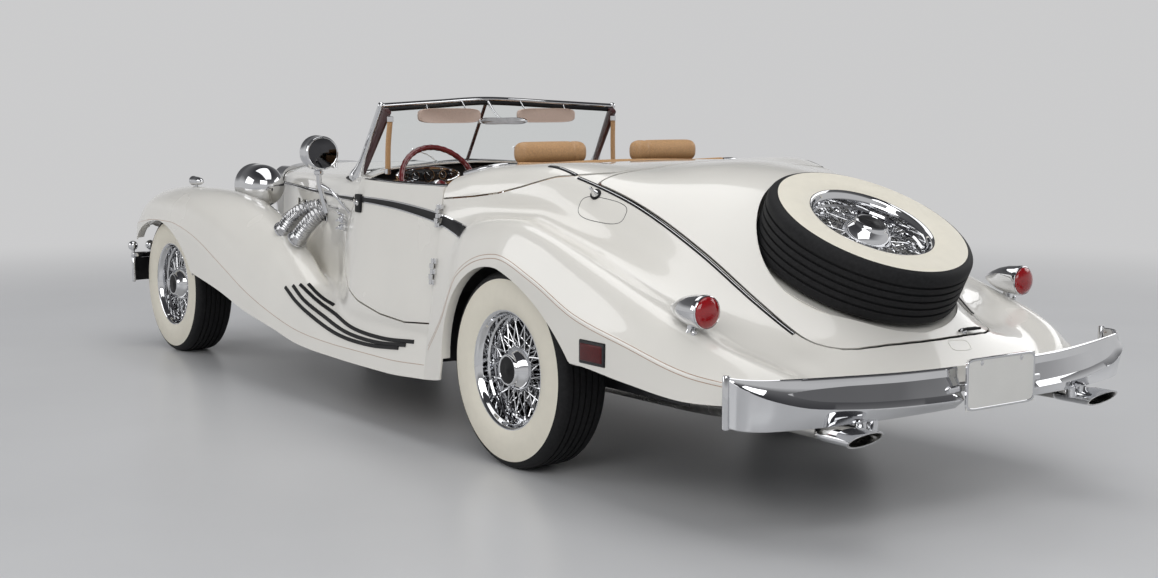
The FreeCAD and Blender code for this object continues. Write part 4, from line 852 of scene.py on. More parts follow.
# Paths of the strips on the body: station, y, z
beltPath = [(2700, 303, 868), (2300, 410, 868), (1900, 515, 868), (1530, 611, 868)]
beltCowl = [(1512, 616, 868), (1400, 642, 870), (1262, 676, 871)]
beltDoor = [(1228, 692, 877), (1000, 704, 873), (820, 709, 865), (640, 714, 850), (512, 718, 836)]
beltTail = [(488, 720, 832), (400, 728, 814), (300, 748, 800)]
lidStripCover = [(-8, 586, 1041), (-90, 584, 1034), (-160, 581, 1018)]
lidStrip = [(-176, 586, 1012), (-223, 579, 1000), (-445, 539, 925), (-689, 490, 796), (-917, 440, 645),
            (-1045, 408, 562)]
boardStrips = [
    [(1765, 754, 465), (1650, 770, 422), (1500, 786, 383),
     (1227, 792, 328), (950, 794, 318), (719, 794, 335)],
    [(1713, 742, 476), (1600, 757, 434), (1400, 770, 388),
     (1166, 780, 343), (900, 783, 333), (669, 784, 350)],
    [(1670, 729, 484), (1500, 742, 440), (1300, 752, 398),
     (1114, 764, 362), (850, 772, 352), (613, 774, 368)],
    [(1630, 709, 488), (1500, 722, 457), (1358, 727, 426)]]


def makeStrips(trees):
    flankTree, tailTree = trees["flank"], trees["tail"]
    for name, points, tree, first, last, body in (
            ("beltFront", beltPath, flankTree, 12, 17, "car_body"),
            ("beltCowl", beltCowl, flankTree, 18, 23, "car_body"),
            ("beltDoor", beltDoor, flankTree, 24, 42, "door"),
            ("beltTail", beltTail, tailTree, 43, 54, "car_body")):
        path = stationPath(points, 12.0)
        width = np.linspace(first, last, len(path))
        bands = [ribbon(tree, path, width, 3.0), (*ribbon(tree, path, width - 7, 4.2), "blackStrip")]
        bothSides(name, bands, body)
    for name, points, body in (("lidStripRear", lidStrip, "car_body"),
                               ("lidStripFront", lidStripCover, "hood_cover")):
        path = stationPath(points, 12.0)
        strip = [(*ribbon(tailTree, path, 13, 3.0), "blackStrip"), ribbon(tailTree, path, 2, 3.8)]
        bothSides(name, strip, body)
    for i, path in enumerate(boardStrips):
        parts = [(*ribbon(flankTree, stationPath(path, 12.0), 15, 4.5), "blackStrip")]
        bothSides("boardStrip%d" % (i + 1), parts, "car_body")
    # Fine painted lines beside the creases of fenders and wings
    for name, rows, first, ends, rises, tree, width in (
            ("fenderStripes", fenderRows, 2, (480, -1235, 90), (7, -8), tailTree, 2.4),
            ("wingStripe", wingRows, 6, (510, 3560, 130), (5,), flankTree, 2.2)):
        crease = [(s, *rowAt(rows, s)[first:first + 2]) for s in np.linspace(*ends)]
        lines = []
        for rise in rises:
            path = np.array([(carX(s), y, z + rise) for s, y, z in crease])
            lines.append((*ribbon(tree, path, width, 0.5, 0.6), "pinstripeTan"))
        bothSides(name, lines, "car_body")
    slots = []
    for i in range(vent["count"]):
        x = carX(vent["first"] + vent["pitch"] * i)
        end, low, high = x + vent["long"] + 3, vent["low"] - 3, vent["high"] + 3
        loop = [(x - 3, 0, low), (end, 0, low), (end, 0, high), (x - 3, 0, high)]
        spots = []
        for a, b in zip(loop, loop[1:] + loop[:1]):
            spots += [(a[0] + (b[0] - a[0]) * t, 500, a[2] + (b[2] - a[2]) * t)
                      for t in (0.04, 0.3, 0.6, 0.96)]
        slots.append(ribbon(flankTree, spots, 6, 2.5, loop=True))
    bothSides("slotFrames", slots, "car_body")


# A rounded rectangle laid about the surface's spot nearest to a centre
def aroundSpot(tree, center, halfLong, halfWide, count, power):
    (spot,), (normal,) = onSurface(tree, [center])
    along = np.array([1.0, 0, 0]) - normal * normal[0]
    along /= np.linalg.norm(along)
    wide = np.cross(normal, along)
    path = []
    for t in turns(count):
        c, s = math.cos(t), math.sin(t)
        shift = along * halfLong * abs(c) ** (2 / power) * (1 if c > 0 else -1)
        path.append(spot + shift + wide * halfWide * abs(s) ** (2 / power) * (1 if s > 0 else -1))
    return path


# Where the small fittings sit on the body
fittings = {"filler": (-1425, 597, 908), "mast": (-1380, 592, 962), "pull": (-2342, -115, 508),
            "latch": (-2304, -200, 540), "handle": (74, 690, 858)}
# The door hinges: their line and its lean, the leaf's width, knuckles a hinge and the two heights
hinge = {"x": -598.5, "topY": 722, "topZ": 954, "lean": 0.1245, "leaf": 20, "knuckles": 5,
         "heights": ((595, 692), (805, 890))}


def hingeY(z):
    return hinge["topY"] + (hinge["topZ"] - z) * hinge["lean"]


def makeFittings(trees):
    tail, flank = trees["tail"], trees["flank"]
    # The filler lid's seam: a thin grey ribbon almost flush with the body, painted shade of the groove around
    # the lid
    path = aroundSpot(tail, fittings["filler"], 98, 42, 48, 3.2)
    assembled("fillerSeamShade", [(*ribbon(tail, path, 2.4, 0.35, 0.5, True), "seamGrey")], "car_body")
    spots, normals = onSurface(tail, [fittings["mast"], fittings["latch"]])
    spot, normal = spots[0], normals[0]
    mast = [(*lathe([(-4, 20), (3, 20), (5, 17)], spot, normal, 28), "blackStrip"),
            lathe([(0, 15), (8, 13), (24, 6), (34, 4.5), (40, 5.5), (44, 3), (46, 0)], spot, normal, 28)]
    assembled("mastFoot", mast, "car_body")
    path = aroundSpot(tail, fittings["pull"], 20, 46, 40, 3.6)
    assembled("pullRecess", [(*ribbon(tail, path, 5, 1.4, 1.0, True), "ivoryPaint")], "car_body")
    spot, normal = spots[1] + normals[1] * 9, normals[1]
    bar = [spot + (0, 52, 0), spot + (0, 20, 2), spot + (0, -20, 2), spot + (0, -48, 0)]
    latch = [(*tube(bar, [4, 6, 6, 4], 12), "blackStrip"),
             lathe([(-14, 12), (-4, 12), (2, 8), (6, 0)], spot + (0, 26, 0), normal, 24),
             lathe([(-14, 5), (4, 5), (9, 3), (11, 0)], spot + (0, 46, 0), normal, 16)]
    assembled("lidLatch", latch, "trunk_lid")
    marker = [(*block((-1744, 806, 445), (-1609, 824, 521), 4), "blackStrip"),
              (*block((-1741, 812, 448), (-1612, 826, 518), 3), "meshBlack"),
              (*block((-1734, 812, 455), (-1619, 829, 511), 5), "darkLens")]
    bothSides("sideMarker", marker, "car_body")
    x, y, _ = onSurface(flank, [fittings["handle"]])[0][0]
    lever = [(*block((x - 24, y - 6, 822), (x + 24, y + 12, 896), 5), "blackStrip"),
             lathe([(0, 15), (5, 15), (9, 10), (11, 0)], (x, y + 9, 862), outward, 28, flat=0.8),
             tube([(x + 14, y + 16, 862), (x, y + 22, 862), (x - 18, y + 20, 860)], [4, 5, 4], 12)]
    bothSides("doorHandle", lever, "door")
    fixed, moving = [], []
    for z0, z1 in hinge["heights"]:
        pitch = (z1 - z0) / hinge["knuckles"]
        for k in range(hinge["knuckles"]):
            low, high = z0 + pitch * k + 0.7, z0 + pitch * (k + 1) - 0.7
            ends = [(hinge["x"], hingeY(z), z) for z in (low, low + 1, high - 1, high)]
            x0, x1 = sorted((hinge["x"], hinge["x"] + hinge["leaf"] * (1 if k % 2 else -1)))
            y = hingeY((low + high) / 2)
            leaf = block((x0, y - 14, low), (x1, y + 1, high), 1.2)
            (moving if k % 2 else fixed).extend([tube(ends, [5.8, 7.0, 7.0, 5.8], 16), leaf])
    bothSides("hingeFixed", fixed, "car_body", ("door_hinges",))
    bothSides("hingeMoving", moving, "door")


# The middle of each lamp
lampPlaces = {"tail": (-2100.0, 718.0, 649.0), "head": (1550.0, 452.0, 862.0),
              "spot": (265.0, 780.0, 1059.0), "wing": (2000.0, 606.0, 872.0)}


def makeLamps():
    x, y, z = center = lampPlaces["tail"]
    arm = [(x + 62, y, z - 34), (x + 66, y + 2, z - 60), (x + 72, y + 8, z - 84), (x + 78, y + 14, z - 104)]
    bowl = [lathe([(-3, 46), (-2, 51), (4, 52.5), (12, 52), (50, 49), (86, 42), (120, 29), (146, 15),
                   (158, 6), (161, 0)], center, ahead),
            tube(arm, [15, 15, 19, 26], 24, 0.8, up=ahead),
            lathe([(0, 9), (6, 9), (9, 6), (10, 0)], (x + 44, y + 10, z - 66), (-1, 0.3, 0), 16)]
    bothSides("tailLamp", bowl, "car_body", ("tail_lamps",))
    face = (x - 2.5, y, z)
    glass = lathe([(-1, 46.5), (3, 46.5), (9, 43), (15, 33), (19, 19), (21, 0)], face, rearward)
    ring = lathe([(-1, 50), (2.5, 50), (4, 48), (2.5, 46), (-1, 46)], face, rearward, loop=True)
    bothSides("tailLens", [(*glass, "redLens"), ring], "car_body", ("tail_lenses",))
    x, y, z = center = lampPlaces["head"]
    back = [(-126 * math.cos(math.radians(7.5 * k)), 104 * math.sin(math.radians(7.5 * k)))
            for k in range(13)]
    rim = [(30, 104), (62, 104), (72, 107), (84, 107), (88, 103), (80, 99), (60, 60), (52, 0)]
    head = [lathe(back + rim, center, ahead, 64),
            (*lathe([(76, 99), (84, 96), (92, 60), (95, 0)], center, ahead, 64), "clearGlass"),
            tube([(x + 6, y, z - 96), (x + 6, y - 4, z - 124), (x + 6, y - 10, 700)], [24, 20, 26], 24),
            lathe([(0, 34), (6, 34), (14, 24), (18, 0)], (x + 6, y - 2, z - 118), upward, 32)]
    bothSides("headlamp", head, "car_body", ("headlamps",))
    x, y, z = center = lampPlaces["spot"]
    turn = (1, -0.12, 0)
    cable = [(x - 2, y - 10, 925), (x - 60, y - 20, 905), (x - 88, y - 50, 860), (x - 82, y - 92, 816)]
    spot = [lathe([(-44, 58), (-46, 62), (-45, 66), (-40, 68.5), (-20, 69), (24, 69), (28, 71), (36, 71),
                   (40, 68), (60, 60), (78, 44), (88, 24), (92, 0)], center, turn, 56),
            (*lathe([(-50.5, 0), (-50, 20), (-48.5, 40), (-45.5, 60), (-40, 60)], center, turn),
             "darkMirror"),
            lathe([(0, 15), (6, 20), (16, 20), (22, 13), (30, 12)], (x + 8, y, z - 92), upward, 32),
            tube([(x + 8, y, z - 86), (x + 8, y - 2, 935), (x + 8, y - 18, 870), (x + 4, y - 34, 812)],
                 [11, 10.5, 10.5, 12], 18),
            tube(curveThrough(cable, 12), 7),
            tube([(x + 8, y - 30, 836), (x + 10, 712, 826), (x + 12, 668, 806)], [11, 10, 16], 18)]
    for low in (780, 748):
        spot += [lathe([(-18, 14), (10, 14), (18, 9), (22, 0)], (x - 6, 680, low), (0, 1, 0.2), 24),
                 tube([(x - 40, 690, low + 8), (x + 30, 690, low - 6)], 6, 12)]
    assembled("spotlight", spot, "car_body", ("spotlight",))
    x, y, z = center = lampPlaces["wing"]
    small = [lathe([(-82, 0), (-78, 8), (-62, 16), (-20, 22), (26, 22), (30, 24), (36, 24), (38, 20)], center,
                   ahead, 36),
             (*lathe([(36, 21), (46, 17), (54, 8), (56, 0)], center, ahead, 32), "redLens"),
             tube([(x, y, z - 10), (x, y, z - 26), (x - 4, y, z - 40)], [9, 8, 20], 20)]
    bothSides("wingLamp", small, "car_body", ("marker_lamps",))


# The outside pipes: ribs on a hose that flares at its end
pipe = {"radius": 33.0, "rib": 3.4, "pitch": 14.0, "step": 1.9, "flare": 11, "flareLong": 26}


def makePipes():
    for name, station, drop in (("front", 1880, 0), ("rear", 1740, 30)):
        x = carX(station)
        path = curveThrough([(x, 486, 800), (x + 8, 540, 800), (x + 34, 590, 784 - drop * 0.4),
                             (x + 84, 620, 748 - drop * 0.9), (x + 150, 634, 690 - drop)], 4.0)
        length = np.concatenate([[0], np.cumsum(np.linalg.norm(np.diff(path, axis=0), axis=1))])
        along = np.arange(0, length[-1], pipe["step"])
        path = np.column_stack([np.interp(along, length, path[:, c]) for c in range(3)])
        radius = pipe["radius"] + pipe["rib"] * np.cos(along * 2 * math.pi / pipe["pitch"])
        flare = np.clip((along - along[-1] + pipe["flareLong"]) / pipe["flareLong"], 0, 1)
        radius = np.where(flare > 0, pipe["radius"] + pipe["flare"] * flare ** 1.5, radius)
        parts = [(*tube(path, radius, 26), "flexSteel"),
                 lathe([(-3, 43), (-3, 46), (2, 46.5), (4, 44), (1, 40), (-30, 31), (-31, 0)], path[-1],
                       path[-1] - path[-4], 40),
                 lathe([(0, 44), (8, 43), (10, 38), (10, 34)], path[0] + (0, -6, 0), outward, 36)]
        bothSides("flexPipe" + name.title(), parts, "car_body", ("flex_pipes",))


def ovalTip(grow):
    rows = [(-1300, -1300, 29, 29), (-1318, -1318, 48, 28), (-1335, -1335, 60, 27), (-1370, -1366, 64, 27),
            (-1460, -1400, 65, 27), (-1499, -1440, 65, 27)]
    rings = []
    for upper, lower, halfY, halfZ in rows:
        t = turns(56)
        rise = np.sin(t)
        station = (upper + lower) / 2 + (upper - lower) / 2 * rise
        rings.append(np.column_stack([carX(station), 536 + (halfY + grow) * np.cos(t),
                                      328 + (halfZ + grow) * rise]))
    return rings


def makeTips():
    points, faces = ringMesh(ovalTip(1.2) + ovalTip(-2.6)[:1:-1], False)
    bothSides("exhaustTip", [(points, [face[::-1] for face in faces])], "car_body")


# A bumper's blade: its section follows the plan of the rows
def bladeRings(rows, sheet, bow):
    rows = np.array(rows, float)
    lengths = np.linalg.norm(np.diff(rows[:, :2], axis=0), axis=1)
    steps = sectionCurve(rows, [max(2, int(abs(d) / 14)) for d in lengths])
    tangents = unitTangents(steps[:, :2])
    normals = np.column_stack([tangents[:, 1], -tangents[:, 0]]) * bow
    rings = []
    for (x, y, z0, z1, ridge, zr), n in zip(steps, normals):
        rise, fall = z1 - 4 - zr, zr - z0 - 4
        shape = [(-3, z0 + 1), (0, z0 + 4), (ridge * 0.55, z0 + 4 + fall * 0.5), (ridge, zr - 2),
                 (ridge, zr + 2), (ridge * 0.62, zr + rise * 0.2), (ridge * 0.3, zr + rise * 0.45),
                 (ridge * 0.1, zr + rise * 0.72), (ridge * 0.06, z1 - 8), (0, z1 - 3), (-3, z1 - 1),
                 (-sheet, z1 - 3), (ridge - sheet, zr), (-sheet, z0 + 3)]
        rings.append([(x + n[0] * d, y + n[1] * d, z) for d, z in shape])
    return np.array(rings)


plate = {"half": (152.5, 76.0), "height": 444, "squareness": 0.16, "screwY": 89, "screwZ": 506}


def makeBumpers():
    # Columns: x, y, bottom, top, how far the ridge stands out, height of the ridge
    rows = [(-2338, 846, 358, 504, 1, 496), (-2388, 838, 357, 505, 6, 480), (-2438, 792, 357, 505, 16, 452),
            (-2474, 694, 358, 504, 27, 424), (-2512, 540, 361, 502, 32, 410), (-2544, 360, 366, 499, 33, 404),
            (-2557, 172, 370, 497, 33, 402), (-2558, 148, 371, 497, 30, 402)]
    end = [(-2336, 845, z) for z in (355, 358, 430, 504, 508)]
    blade = [ringMesh(bladeRings(rows, 6, 1)), tube(end, [9, 11.5, 11.5, 11.5, 9], 28)]
    for y in (452, 498):
        blade.append(lathe([(-24, 15), (-20, 17), (12, 17), (18, 11), (20, 0)], (-2514, y, 356), upward, 24))
    arm = [(-2540, 404, 384), (-2440, 410, 384), (-2082, 410, 384)]
    blade.append((*tube(arm, 15, 14, 0.7), "satinBlack"))
    bothSides("rearBumper", blade, "car_body", ("rear_bumper",))
    assembled("bumperBar", [block((-2583, -205, 425), (-2566, 205, 443), 4)], "car_body")
    rows = [(2462, 781, 334, 450, 2, 392), (2494, 764, 331, 452, 8, 392), (2530, 700, 328, 455, 17, 391),
            (2552, 560, 326, 457, 23, 391), (2564, 400, 325, 458, 26, 391), (2570, 200, 324, 458, 28, 391),
            (2571, 0, 324, 458, 28, 391)]
    # The blade's back skin, set a little behind it in the black finish: painted shade where the back of the
    # blade lies in shadow
    rear = bladeRings(rows, 10, -1)
    rear[:, :, 0] -= 7
    end = [(2455, 780, z) for z in (328, 331, 392, 453, 456)]
    front = [ringMesh(bladeRings(rows, 6, -1)),
             (*ringMesh(rear), "blackStrip"),
             tube(end, [7, 9, 9, 9, 7], 20), block((2502, 655, 449), (2538, 765, 479), 8)]
    for y in (662, 756):
        front.append(lathe([(0, 11), (10, 9), (20, 9), (24, 13), (28, 20), (38, 25), (48, 26), (58, 23),
                            (66, 15), (70, 6), (71, 0)], (2520, y, 468), upward, 36))
    arm = [(2381, 262, 372), (2470, 264, 374), (2566, 268, 380)]
    front.append((*tube(arm, 20, 16, 0.9), "satinBlack"))
    bothSides("frontBumper", front, "car_body", ("front_bumper",))
    halfY, halfZ = plate["half"]
    path = roundedLoop(halfY, halfZ, plate["squareness"], plate["squareness"], 96)
    rings = []
    for grow, x in ((-6, -2600.1), (-5, -2601.2), (0, -2601.4), (1.5, -2599.5), (1.5, -2594), (-6, -2594)):
        rings.append([(x, y * (1 + grow / halfY), plate["height"] + z * (1 + grow / halfZ)) for y, z in path])
    rim = [ringMesh(rings, False, True)]
    for y in (-plate["screwY"], plate["screwY"]):
        rim.append(lathe([(0, 8), (1.6, 8), (2.4, 6), (2.7, 0)], (-2599, y, plate["screwZ"]), rearward, 6))
    assembled("plateRim", rim, "car_body")


# Corners of the windscreen frame
screen = {"corner": (86, 585, 1250), "top": (208, 0, 1279), "foot": (252, 606, 972), "base": (378, 0, 1008)}


# A curve across the car from side to side, bowed by an offset
def acrossCar(end, middle, bow):
    flip, halfway = np.array([1, -1, 1.0]), (end + middle) / 2
    return curveThrough([end, halfway + bow, middle, halfway * flip + bow, end * flip], 24)


# Copies of an outline one behind another, each at its depth and scale
def stacked(outline, center, steps):
    x, y, z = center
    return ringMesh([[(x + depth, y + a * k, z + b * k) for a, b in outline] for depth, k in steps])


def makeScreen():
    foot, corner, top, base = (np.array(screen[k], float) for k in ("foot", "corner", "top", "base"))
    header, low = acrossCar(corner, top, (4, 0, 1)), acrossCar(foot, base, (14, 0, 2))
    parts = [tube(header, 13.5, 20, 0.8),
             (*tube(header + (-6, 0, -15), 7.5, 14, 1.4), "blackStrip"),
             tube(low, 9, 16),
             (*tube(low + (0, 0, -10), 11, 16, 0.8), "blackStrip"), (*tube([base, top], 8, 16), "darkTrim")]
    for sign in (1, -1):
        a, b = foot * (1, sign, 1), corner * (1, sign, 1)
        outer = np.array([0, sign * 3.0, 0])
        post = curveThrough([a + outer, (a + b) / 2 + outer, b + outer], 20)
        lining = curveThrough([a + (-14, -sign * 12, 4), b + (-20, -sign * 12, -16)], 30)
        shoe = [a + (-46, 0, -30), a + (10, 0, -26), a + (70, 0, -22), a + (124, -sign * 16, -20)]
        way = (b - a) / np.linalg.norm(b - a)
        parts += [tube(post, 12, 18, 1.25),
                  (*tube(lining, np.linspace(9, 15, len(lining)), 18, 1.9), "darkTrim"),
                  lathe([(-14, 0), (-12, 8), (-6, 13), (0, 15), (8, 14.5), (14, 10), (17, 0)], b,
                        (0, sign, 0.2), 32),
                  lathe([(-34, 26), (-28, 34), (-16, 36), (0, 31), (26, 22), (60, 17), (86, 14)], a, way, 36),
                  (*tube(shoe, [10, 30, 22, 4], 24, 0.45), "blackStrip")]
    assembled("screenFrame", parts, "car_body", ("windscreen_frame",))
    steps = ((-6, 0.90), (-8, 0.96), (-6, 0.995), (0, 1.0), (6, 0.995), (8, 0.96), (6, 0.90))
    visor = [(*stacked(roundedLoop(152, 31, 0.45, 0.5, 56), (115, 247, 1209), steps), "visorCloth")]
    for y in (150.0, 350.0):
        rise = (top - corner) * ((corner[1] - y) / corner[1])
        arm = [(115, y, 1232), (corner[0] + rise[0] * 0.5 + 14, y, 1242),
               (corner[0] + rise[0], y, corner[2] + rise[2])]
        visor.append(tube(arm, 4, 10))
    bothSides("sunVisor", visor, "car_body", ("sun_visors",))
    outline = [(y, (0.7 + 0.3 * abs(math.cos(t))) * math.sin(t) * 20)
               for t, (y, _) in zip(turns(56), roundedLoop(126, 1, 0.7, 1, 56))]
    steps = ((-6, 0.93), (-7, 0.98), (-4, 1.0), (4, 1.0), (14, 0.85), (20, 0.5), (22, 0.2))
    glass = stacked(outline, (77.0, 0, 1186), ((0, 0.9), (-1.2, 0.88), (-1.4, 0.4)))
    mirror = [stacked(outline, (84, 0, 1186), steps),
              (*glass, "flexSteel"), tube([(98, 0, 1190), (150, 0, 1222), (203, 0, 1268)], [6, 5, 8], 12)]
    assembled("cabinMirror", mirror, "car_body", ("interior_mirror",))


steering = {"rake": 25.0, "center": (6.0, 360.0, 917.0), "radius": 178, "grip": 11.6, "ripple": 0.9,
            "ripples": 36}


def makeSteering():
    rake = math.radians(steering["rake"])
    axis = np.array([-math.cos(rake), 0, math.sin(rake)])
    center = np.array(steering["center"])
    side, down = np.array([0, 1.0, 0]), np.cross(axis, [0, 1.0, 0])
    rings = []
    for t in turns(120):
        out = np.cos(t) * side + np.sin(t) * down
        thick = steering["grip"] + steering["ripple"] * math.cos(t * steering["ripples"])
        middle = center + out * steering["radius"]
        rings.append([middle + thick * (math.cos(a) * out + math.sin(a) * axis) for a in turns(16)][::-1])
    parts = [(*ringMesh(rings, False, True), "redRim")]
    for way in (side, -side, down):
        path = [center - axis * 8 + way * d - axis * 5 * math.sin(d / 168 * math.pi)
                for d in (20, 70, 120, 170)]
        parts.append(tube(path, [11, 8, 7, 9], 16, 0.5, up=tuple(axis)))
    parts += [lathe([(-24, 26), (-20, 32), (2, 34), (8, 30), (10, 26)], center, axis, 40),
              (*lathe([(6, 26), (12, 25), (15, 18), (16, 0)], center, axis, 40), "redRim"),
              (*lathe([(-39, 10), (-24, 10), (-20, 12)], center, axis, 24), "satinBlack")]
    assembled("steeringWheel", parts, "steering_wheel", ("steering_wheel",))


# The panel: half its width, its section (x, z), and the middle height and y, radius of its dials
dash = {"half": 585, "section": ((118, 806), (110, 830), (112, 900), (120, 926), (136, 942), (165, 949),
                                 (205, 950), (228, 946), (222, 900), (208, 830), (192, 800), (140, 800)),
        "dialZ": 872, "dials": ((440, 52), (300, 52), (120, 32), (40, 32), (-40, 32), (-120, 32))}
# The oval of instruments that stands on the panel before the driver
oval = {"y": 350, "z": 962, "halfY": 150, "halfZ": 34, "dials": ((350, 25), (285, 18), (415, 18), (240, 10),
        (460, 10))}


def makeDash():
    half = dash["half"]
    rings = []
    for y in np.linspace(-half, half, 40):
        drop = 22 * (abs(y) / half) ** 4
        rings.append([(x, y, z - drop) for x, z in dash["section"]])
    points, faces = ringMesh(rings)
    top = [face for face in faces if points[face][:, 2].mean() > 915 or points[face][:, 0].mean() > 180]
    front = [face for face in faces if face not in top]
    parts = [(points, top, "tanLeather"), (points, front, "walnut")]
    z = dash["dialZ"]
    for y, r in dash["dials"]:
        rim = [(-4, r), (4, r), (7, r - 3), (4, r - 6), (-4, r - 6)]
        parts += [lathe(rim, (108, y, z), rearward, 40, True),
                  (*lathe([(-4, r - 5), (0, r - 5), (1, 0)], (108, y, z), rearward, 32), "dialFace"),
                  tube([(105.5, y, z), (105.5, y + r * 0.4, z + r * 0.55)], 1.2, 6)]
    middle, z = oval["y"], oval["z"]
    rings = [[(118 + depth, middle + (oval["halfY"] + grow) * math.cos(t),
               z + (oval["halfZ"] + grow) * math.sin(t)) for t in turns(64)]
             for depth, grow in ((14, -8), (14, 0), (8, 4), (0, 3), (-3, -2), (0, -7), (4, -8))]
    parts.append(ringMesh(rings))
    inner = [[(p[0] - 2.2 + k, middle + (p[1] - middle) * 0.985 * s, z + (p[2] - z) * 0.95 * s)
              for p in rings[-1]] for k, s in ((0.4, 1.0), (0, 0.96), (-0.6, 0.3))]
    parts.append((*ringMesh(inner), "darkDial"))
    for y, r in oval["dials"]:
        parts += [lathe([(-1, r), (2.5, r), (2.5, r - 2), (-1, r - 2)], (115, y, z), rearward, 32, True),
                  tube([(113.6, y, z), (113.6, y + r * 0.5, z + r * 0.5)], 0.9, 6)]
    parts += [(*block((102, -470, 836), (116, -250, 910), 4), "walnut"),
              lathe([(0, 9), (6, 9), (9, 6), (10, 0)], (103, -360, 896), rearward, 20)]
    assembled("dashboard", parts, "car_body", ("dashboard",))
    knob = [(-27, 8), (-22, 17), (-10, 25), (2, 27), (14, 23), (23, 14), (27, 0)]
    lever = [(*lathe([(0, 46), (4, 46), (18, 30), (34, 14), (38, 9)], (-90, 0, 504), upward, 32),
              "tanLeather"),
             tube([(-90, 0, 512), (-96, 0, 600), (-110, 0, 690)], [8, 6.5, 6.5]),
             (*lathe(knob, (-110, 0, 705), upward, 32), "redRim")]
    assembled("gearLever", lever, "car_body", ("gear_lever",))


# Stuffed pads: each swells by cloth pressure from a slightly smaller closed shape
padRows = [
    # Columns: name, low corner, high corner, rounding, lean of the top rearwards, most swelling,
    # seams across
    ("seatCushion", (-606, 136, 350), (-150, 506, 544), 30, 0, 14, 3),
    ("seatBackPad", (-742, 136, 356), (-614, 506, 984), 30, -56, 12, 3),
    ("headrest", (-706, 118, 1032), (-628, 430, 1115), 32, 0, 5, 1)]


def evaluated(obj):
    return obj.evaluated_get(bpy.context.evaluated_depsgraph_get())


# The modifiers' result becomes the mesh
def applied(obj):
    mesh = bpy.data.meshes.new_from_object(evaluated(obj))
    obj.modifiers.clear()
    obj.data = mesh
    return mesh


# The pad's points after cloth pressure, each moved by no more than the limit
def swollenPoints(obj, rest, limit):
    cloth = obj.modifiers.new("cloth", "CLOTH")
    settings = cloth.settings
    settings.quality = 5
    settings.mass = 0.4
    settings.use_pressure = True
    settings.uniform_pressure_force = 4.0
    settings.effector_weights.gravity = 0.0
    settings.tension_stiffness = 20
    settings.bending_stiffness = 2.0
    scene = bpy.context.scene
    for step in range(1, 21):
        scene.frame_set(step)
    swollen = np.array([v.co[:] for v in evaluated(obj).to_mesh().vertices])
    obj.modifiers.clear()
    scene.frame_set(1)
    move = swollen - rest
    size = np.linalg.norm(move, axis=1)[:, None]
    return rest + move * np.minimum(1.0, limit / np.maximum(size, 1e-9))


def makePad(row):
    name, low, high, bevel, lean, swell, seams = row
    points, faces = block(low, high, bevel, segments=4)
    middle = (np.array(low) + np.array(high)) / 2
    rise = (points[:, 2] - low[2]) / (high[2] - low[2])
    points[:, 0] += lean * rise * (points[:, 0] - low[0]) / (high[0] - low[0])
    obj = meshObject(name, points, faces, materialOf("tanLeather"), 60)
    remesh = obj.modifiers.new("remesh", "REMESH")
    remesh.mode = "VOXEL"
    remesh.voxel_size = 0.005 if name == "headrest" else 0.009
    mesh = applied(obj)
    rest = np.array([v.co[:] for v in mesh.vertices])
    rest = swollenPoints(obj, rest, swell * 0.001)
    # Sewn channels: the cover is drawn in along lines across the pad
    seamHalf, seamDepth = 0.006, 0.004
    spanY = (high[1] - low[1]) * 0.001
    v = (rest[:, 1] - low[1] * 0.001) / spanY
    pull = np.zeros(len(rest))
    for k in range(1, seams + 1):
        at = k / (seams + 1) if seams > 1 else 0.2
        pull += np.exp(-((v - at) * spanY / seamHalf) ** 2)
    inward = middle * 0.001 - rest
    inward[:, 1] = 0
    inward /= np.maximum(np.linalg.norm(inward, axis=1), 1e-9)[:, None]
    rest += inward * (pull * seamDepth)[:, None]
    mesh.vertices.foreach_set("co", rest.ravel())
    mesh.update()
    smooth = obj.modifiers.new("subdivision", "SUBSURF")
    smooth.levels = smooth.render_levels = 1
    mesh = applied(obj)
    mesh.polygons.foreach_set("use_smooth", [True] * len(mesh.polygons))
    return obj


def makeSeats():
    for row in padRows:
        left = makePad(row)
        right = left.copy()
        right.data = left.data.copy()
        right.data.transform(Matrix.Scale(-1, 4, (0, 1, 0)))
        right.data.flip_normals()
        bpy.context.scene.collection.objects.link(right)
        name = left.name
        left.name, right.name = name + "Left", name + "Right"
        for obj in (left, right):
            if not obj.data.materials:
                obj.data.materials.append(materialOf("tanLeather"))
            finished(obj, "car_body", ("headrests",) if name == "headrest" else ("seats",))
    posts = [tube([(-681, y, 985), (-679, y, 1010), (-676, y, 1046)], 6) for y in (210, 340)]
    bothSides("headrestPosts", posts, "car_body")


# The turned-in edge of each wheel opening
def makeFlanges(trees):
    for name, outline, tree, axle in (("rearArch", rearArch[1:-1], trees["tail"], 0),
                                      ("frontArch", frontArch[1:-1], trees["flank"], 3200)):
        path = []
        for (s0, z0), (s1, z1) in zip(outline, outline[1:]):
            path += [(s0 + (s1 - s0) * t, z0 + (z1 - z0) * t) for t in (0, 0.33, 0.66)]
        path.append(outline[-1])
        middle = np.array([axle, car["tyreRadius"]])
        rings = []
        for (s, z), (ts, tz) in zip(path, unitTangents(np.array(path))):
            out = np.array([tz, -ts])
            if out @ (np.array([s, z]) - middle) < 0:
                out = -out
            hit = tree.ray_cast(Vector((carX(s) + out[0] * 8, 1500, z + out[1] * 8)), Vector((0, -1, 0)))
            y = hit[0].y if hit[0] else 800.0
            rings.append([(carX(s) + out[0] * grow, y + depth - 3, z + out[1] * grow)
                          for depth, grow in ((1.5, 1), (1.5, 7), (-34, 8), (-34, 2), (-6, -1))])
        bothSides(name + "Flange", [(*ringMesh(rings), "ivoryPaint")], "car_body")


def sheetBetween(rows, thickness):
    grid = np.array(rows, float)
    count, columns = grid.shape[:2]
    faces = []
    for i in range(count - 1):
        a = i * columns
        faces += [[a + j, a + columns + j, a + columns + j + 1, a + j + 1] for j in range(columns - 1)]
    return shellArrays(grid.reshape(-1, 3), faces, thickness)


